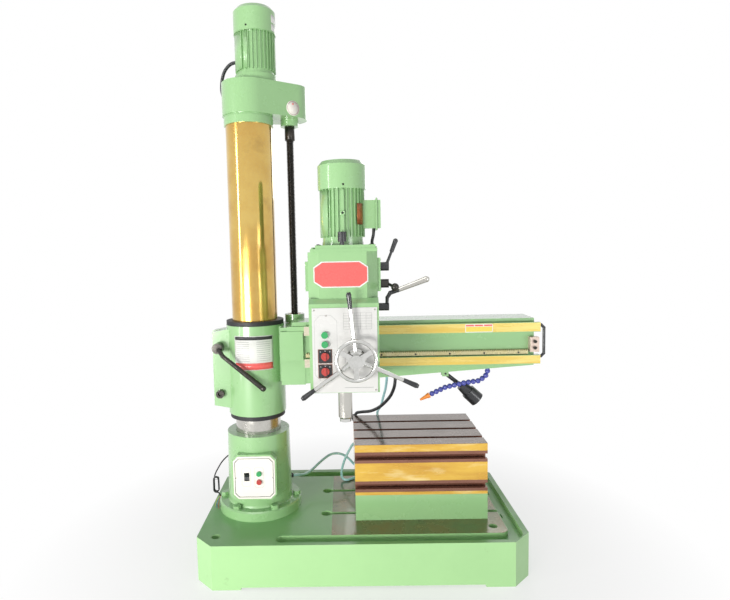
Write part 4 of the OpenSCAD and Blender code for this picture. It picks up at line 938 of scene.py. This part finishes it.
FLANK_AT = (-258.6, 0.7, 1947.4)
FLANK_OUT = (0.574, -0.819, 0)
turned("gearbox_label", "column", CREAM, FLANK_AT, FLANK_OUT,
       [(0, -1), (32, -1), (32, 0.5), (0, 0.5)])
turned("gearbox_label_ring", "column", BROWN_LINE, FLANK_AT, FLANK_OUT,
       [(0, 0), (28.5, 0), (28.5, 0.8), (27.4, 0.8), (27.4, 0.4), (0, 0.4)])
turned("gearbox_label_dot", "column", ROSE_LABEL, (-258.6, 0.7, 1965), FLANK_OUT,
       [(0, 0), (4, 0), (4, 0.9), (0, 0.9)])

MAIN_AT, LIFT_AT = (-54, -290), (-417, 17)
MAIN_BODY, LIFT_BODY = (1383, 1556), (2102, 2253)
BOSS_AT = (-53, -370, 1469)
curved_plates("motor_nameplate", "head", COPPER, MAIN_AT, [(86.2, (40, 63), (1426, 1505), 0.8)])
curved_plates("motor_smooth_side", "head", SHADED_ENAMEL, MAIN_AT, [(80, (-74, -40), MAIN_BODY, 6.2)])
curved_plates("lift_motor_smooth_side", "column", SHADED_ENAMEL, LIFT_AT,
              [(81, (-72, -34), LIFT_BODY, 6.2)])
curved_plates("lift_motor_wide_rib", "column", SHADED_ENAMEL, LIFT_AT, [(81, (-25, -14), LIFT_BODY, 6.4)])
curved_plates("lift_cowl_labels", "column", WHITE_LABEL, LIFT_AT,
              [(90, (60, 82), heights, 0.4) for heights in ((2264, 2291), (2297, 2328))])
boxes("motor_front_rib", "head", "enamel", SHADED_ENAMEL, [((-59, -376.8, 1383), (-47, -362, 1556))], 1.2)
turned("motor_boss", "head", SHADED_ENAMEL, BOSS_AT, FRONT,
       [(0, 0), (10, 0), (10, 9), (8.8, 10.4), (4.4, 10.4), (4.4, 3), (0, 3)])
# A dark disc set deep in the boss's hole: painted shade.
turned("motor_boss_hole_painted_shade", "head", INK, BOSS_AT, FRONT,
       [(0, 3), (4.2, 3), (4.2, 8.6), (0, 8.6)])
boxes("terminal_flange", "head", "enamel", SHADED_ENAMEL, [((73, -324, 1404), (79, -256, 1527))], 1.6)


def round_spots(centre, radius, z, angles):
    """Screw places on an upright round face, each looking straight out of it."""
    ways = [(math.sin(math.radians(a)), -math.cos(math.radians(a)), 0) for a in angles]
    return [((centre[0] + radius * x, centre[1] + radius * y, z), (x, y, 0)) for x, y, _ in ways]


screws("main_cowl_screws", "head", DARK_STEEL,
       round_spots(MAIN_AT, 93, 1573, (3, 123, 243)), 4, 2)
screws("lift_cowl_screws", "column", DARK_STEEL,
       round_spots(LIFT_AT, 90, 2273, (-15, 105, 225)), 4, 2)
screws("terminal_screws", "head", STEEL,
       [((79, y, z), RIGHT) for y in (-319.5, -260.5) for z in (1409, 1522)], 3, 2)
screws("case_lid_screws", "head", DARK_STEEL,
       [((x, y, 1350), UP) for x in (-147, 56) for y in (-392, -290, -180)], 5.5, 4)


# Lift screw with its real thread and its coupling, standing for the plain solid
SCREW_AT = (-283, 79)
SCREW_SIDES = 28
THREAD_PITCH = 6
THREAD_ENDS = (780, 1820)
CREST_R = 16.5
ROOT_R = 13.6
COUPLING = [
    (0, 1819.5), (16.5, 1819.5), (16.5, 1824.7), (21.5, 1824.7), (22.5, 1825.7), (22.5, 1883.7),
    (21.5, 1884.7), (16.5, 1884.7), (16.5, 1972), (0, 1972),
]


def thread_radius(z, share):
    """Radius of the thread at height z and at a share of one turn round; it fades out at both ends."""
    low, high = THREAD_ENDS
    edge = min(1.0, (z - low) / 4, (high - z) / 4)
    phase = (z / THREAD_PITCH - share) % 1
    wave = min(1.0, max(0.0, 2.6 * (abs(phase - 0.5) * 2) - 0.8))
    return CREST_R - (CREST_R - ROOT_R) * wave * edge


def lift_thread():
    per_turn = 8
    low, high = THREAD_ENDS
    bm = bmesh.new()
    rings = []
    for k in range(int((high - low) / THREAD_PITCH * per_turn) + 1):
        z = low + k * THREAD_PITCH / per_turn
        ring = []
        for j in range(SCREW_SIDES):
            r = thread_radius(z, j / SCREW_SIDES)
            a = 2 * math.pi * j / SCREW_SIDES
            place = (SCREW_AT[0] + r * math.cos(a), SCREW_AT[1] + r * math.sin(a), z)
            ring.append(bm.verts.new(Vector(place) * MM))
        rings.append(ring)
    skin(bm, rings)
    revolve(bm, [(r * MM, h * MM) for r, h in COUPLING], Vector((*SCREW_AT, 0)) * MM, UP, SCREW_SIDES)
    piece = dress(new_piece("lift_screw_thread", bm), "screw", DARK_STEEL)
    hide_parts("lead_screw")


lift_thread()


# Tie that holds the hank, and graduated ring of the feed
TIE_WIDE = 13.4
TIE_DEEP = 14.5
TIE_R = 0.6
TIE_STEPS = 40
FEED_AT = (-14, -438, 931.5)
FEED_RING_R = 38.05
FEED_MARKS = 60


def hank_tie():
    bm = bmesh.new()
    centre = Vector((HANK_AT[0], HANK_AT[1] - HANK_PITCH, HANK_AT[2] + HANK_H / 2 - 6))
    turns = [2 * math.pi * k / TIE_STEPS for k in range(TIE_STEPS)]
    loop = [(centre + Vector((TIE_WIDE * math.cos(a), TIE_DEEP * math.sin(a), 1.5 * math.sin(2 * a)))) * MM
            for a in turns]
    rings = []
    for i, point in enumerate(loop):
        tangent = (loop[(i + 1) % TIE_STEPS] - loop[i - 1]).normalized()
        side = tangent.cross(Vector((0, 0, 1))).normalized()
        above = side.cross(tangent)
        rings.append([bm.verts.new(point + TIE_R * MM * (math.cos(b) * side + math.sin(b) * above))
                      for b in (math.pi * k / 4 for k in range(8))])
    for i in range(TIE_STEPS):
        for k in range(8):
            n = (k + 1) % 8
            bm.faces.new((rings[i - 1][k], rings[i - 1][n], rings[i][n], rings[i][k]))
    dress(new_piece("hank_tie", bm), "base", RUBBER)


def feed_marks():
    """Short lines round the feed's hub, every fifth one longer."""
    bm = bmesh.new()
    for i in range(FEED_MARKS):
        a = 2 * math.pi * i / FEED_MARKS
        length = 9 if i % 5 == 0 else 5
        made = bmesh.ops.create_cube(bm, size=1)["verts"]
        for v in made:
            local = Vector((v.co.x * 0.5, v.co.y * length, v.co.z * 0.5))
            place = Vector((math.cos(a) * (FEED_RING_R + local.z), 0, math.sin(a) * (FEED_RING_R + local.z)))
            place += Vector((-math.sin(a), 0, math.cos(a))) * local.x
            v.co = (Vector(FEED_AT) + place + Vector((0, local.y, 0))) * MM
    dress(new_piece("feed_marks", bm, smooth=False), "feed", INK)


hank_tie()
feed_marks()


# Floor, light and background
WORLD_LIGHT = 0.46
SIDE_SHADE = 0.15
CEILING_SHADE = 0.4
FLOOR_SIZE = 40
FLOOR_FADE = (0.45, 1.5)
FLOOR_GLOW = 0.55
LAMPS = [
    ("key_light", (-2.3, -3.6, 0.55), (-0.1, 0, 0.1), (1.6, 0.9), 132, (1.0, 0.99, 0.97)),
    ("window_light", (-3.0, -1.7, 1.3), (-0.2, -0.1, 1.2), (0.25, 2.4), 26, (1.0, 1.0, 1.0)),
    ("fill_light", (3.0, -3.4, 0.9), (0.3, 0, 0.7), (1.6, 1.2), 40, (0.97, 0.99, 1.0)),
    ("top_light", (-0.9, -1.6, 3.9), (0, 0, 1.0), (2.0, 1.4), 24, (1.0, 1.0, 0.99)),
    ("rim_light", (0.8, 2.8, 2.6), (0, 0, 1.2), (2.0, 1.6), 20, (1, 1, 1)),
]


def make_floor():
    """A pale floor that keeps the machine's shadow and fades to white away from it."""
    floor_mat = bpy.data.materials.new("studio_floor")
    floor_mat.use_nodes = True
    n, l = floor_mat.node_tree.nodes, floor_mat.node_tree.links
    shader = n["Principled BSDF"]
    shader.inputs["Base Color"].default_value = colour("f4f3f1")
    shader.inputs["Roughness"].default_value = 0.55
    place, far = n.new("ShaderNodeTexCoord"), n.new("ShaderNodeVectorMath")
    fade, glow = n.new("ShaderNodeMapRange"), n.new("ShaderNodeEmission")
    blend = n.new("ShaderNodeMixShader")
    far.operation = "LENGTH"
    fade.inputs["From Min"].default_value, fade.inputs["From Max"].default_value = FLOOR_FADE
    fade.inputs["To Min"].default_value = FLOOR_GLOW
    glow.inputs["Color"].default_value = (1, 1, 1, 1)
    l.new(place.outputs["Object"], far.inputs[0])
    l.new(far.outputs["Value"], fade.inputs["Value"])
    l.new(fade.outputs["Result"], blend.inputs["Fac"])
    l.new(shader.outputs["BSDF"], blend.inputs[1])
    l.new(glow.outputs["Emission"], blend.inputs[2])
    l.new(blend.outputs["Shader"], n["Material Output"].inputs["Surface"])
    bm = bmesh.new()
    bmesh.ops.create_grid(bm, x_segments=1, y_segments=1, size=FLOOR_SIZE)
    floor = new_piece("floor", bm, smooth=False)
    floor.location.z = cad_box[0][2] - 0.0005
    floor.data.materials.append(floor_mat)


def make_room():
    """White for the camera, metal and clear plastic; sides and ceiling light less than the front."""
    world = bpy.data.worlds.new("studio")
    bpy.context.scene.world = world
    world.use_nodes = True
    n, l = world.node_tree.nodes, world.node_tree.links
    n.clear()
    out, pick = n.new("ShaderNodeOutputWorld"), n.new("ShaderNodeMixShader")
    seen, lit = n.new("ShaderNodeBackground"), n.new("ShaderNodeBackground")
    ray, way = n.new("ShaderNodeLightPath"), n.new("ShaderNodeTexCoord")
    split, both = n.new("ShaderNodeSeparateXYZ"), n.new("ShaderNodeMath")
    seen.inputs["Color"].default_value = (1, 1, 1, 1)
    seen.inputs["Strength"].default_value = 1.0
    lit.inputs["Color"].default_value = (0.93, 0.96, 1.0, 1)
    both.operation = "MULTIPLY"
    l.new(way.outputs["Generated"], split.inputs["Vector"])
    for axis, factor, start, end, low, high in (("X", 0, 0.25, 0.9, WORLD_LIGHT, WORLD_LIGHT * SIDE_SHADE),
                                                ("Z", 1, 0.1, 0.95, 1.0, CEILING_SHADE)):
        off, shade = n.new("ShaderNodeMath"), n.new("ShaderNodeMapRange")
        off.operation = "ABSOLUTE"
        for name, value in (("From Min", start), ("From Max", end), ("To Min", low), ("To Max", high)):
            shade.inputs[name].default_value = value
        l.new(split.outputs[axis], off.inputs[0])
        l.new(off.outputs["Value"], shade.inputs["Value"])
        l.new(shade.outputs["Result"], both.inputs[factor])
    l.new(both.outputs["Value"], lit.inputs["Strength"])
    shown = ray.outputs["Is Camera Ray"]
    for kind in ("Is Glossy Ray", "Is Transmission Ray"):
        either = n.new("ShaderNodeMath")
        either.operation = "MAXIMUM"
        l.new(shown, either.inputs[0])
        l.new(ray.outputs[kind], either.inputs[1])
        shown = either.outputs["Value"]
    l.new(shown, pick.inputs["Fac"])
    l.new(lit.outputs["Background"], pick.inputs[1])
    l.new(seen.outputs["Background"], pick.inputs[2])
    l.new(pick.outputs["Shader"], out.inputs["Surface"])


def hang_lamps():
    for name, place, aim, size, power, tint in LAMPS:
        data = bpy.data.lights.new(name, "AREA")
        data.shape = "RECTANGLE"
        data.size, data.size_y = size
        data.energy = power
        data.color = tint
        lamp = bpy.data.objects.new(name, data)
        bpy.context.scene.collection.objects.link(lamp)
        lamp.location = place
        lamp.rotation_euler = (Vector(aim) - Vector(place)).to_track_quat("-Z", "Y").to_euler()


make_floor()
make_room()
hang_lamps()
bpy.context.scene.view_settings.view_transform = "Standard"
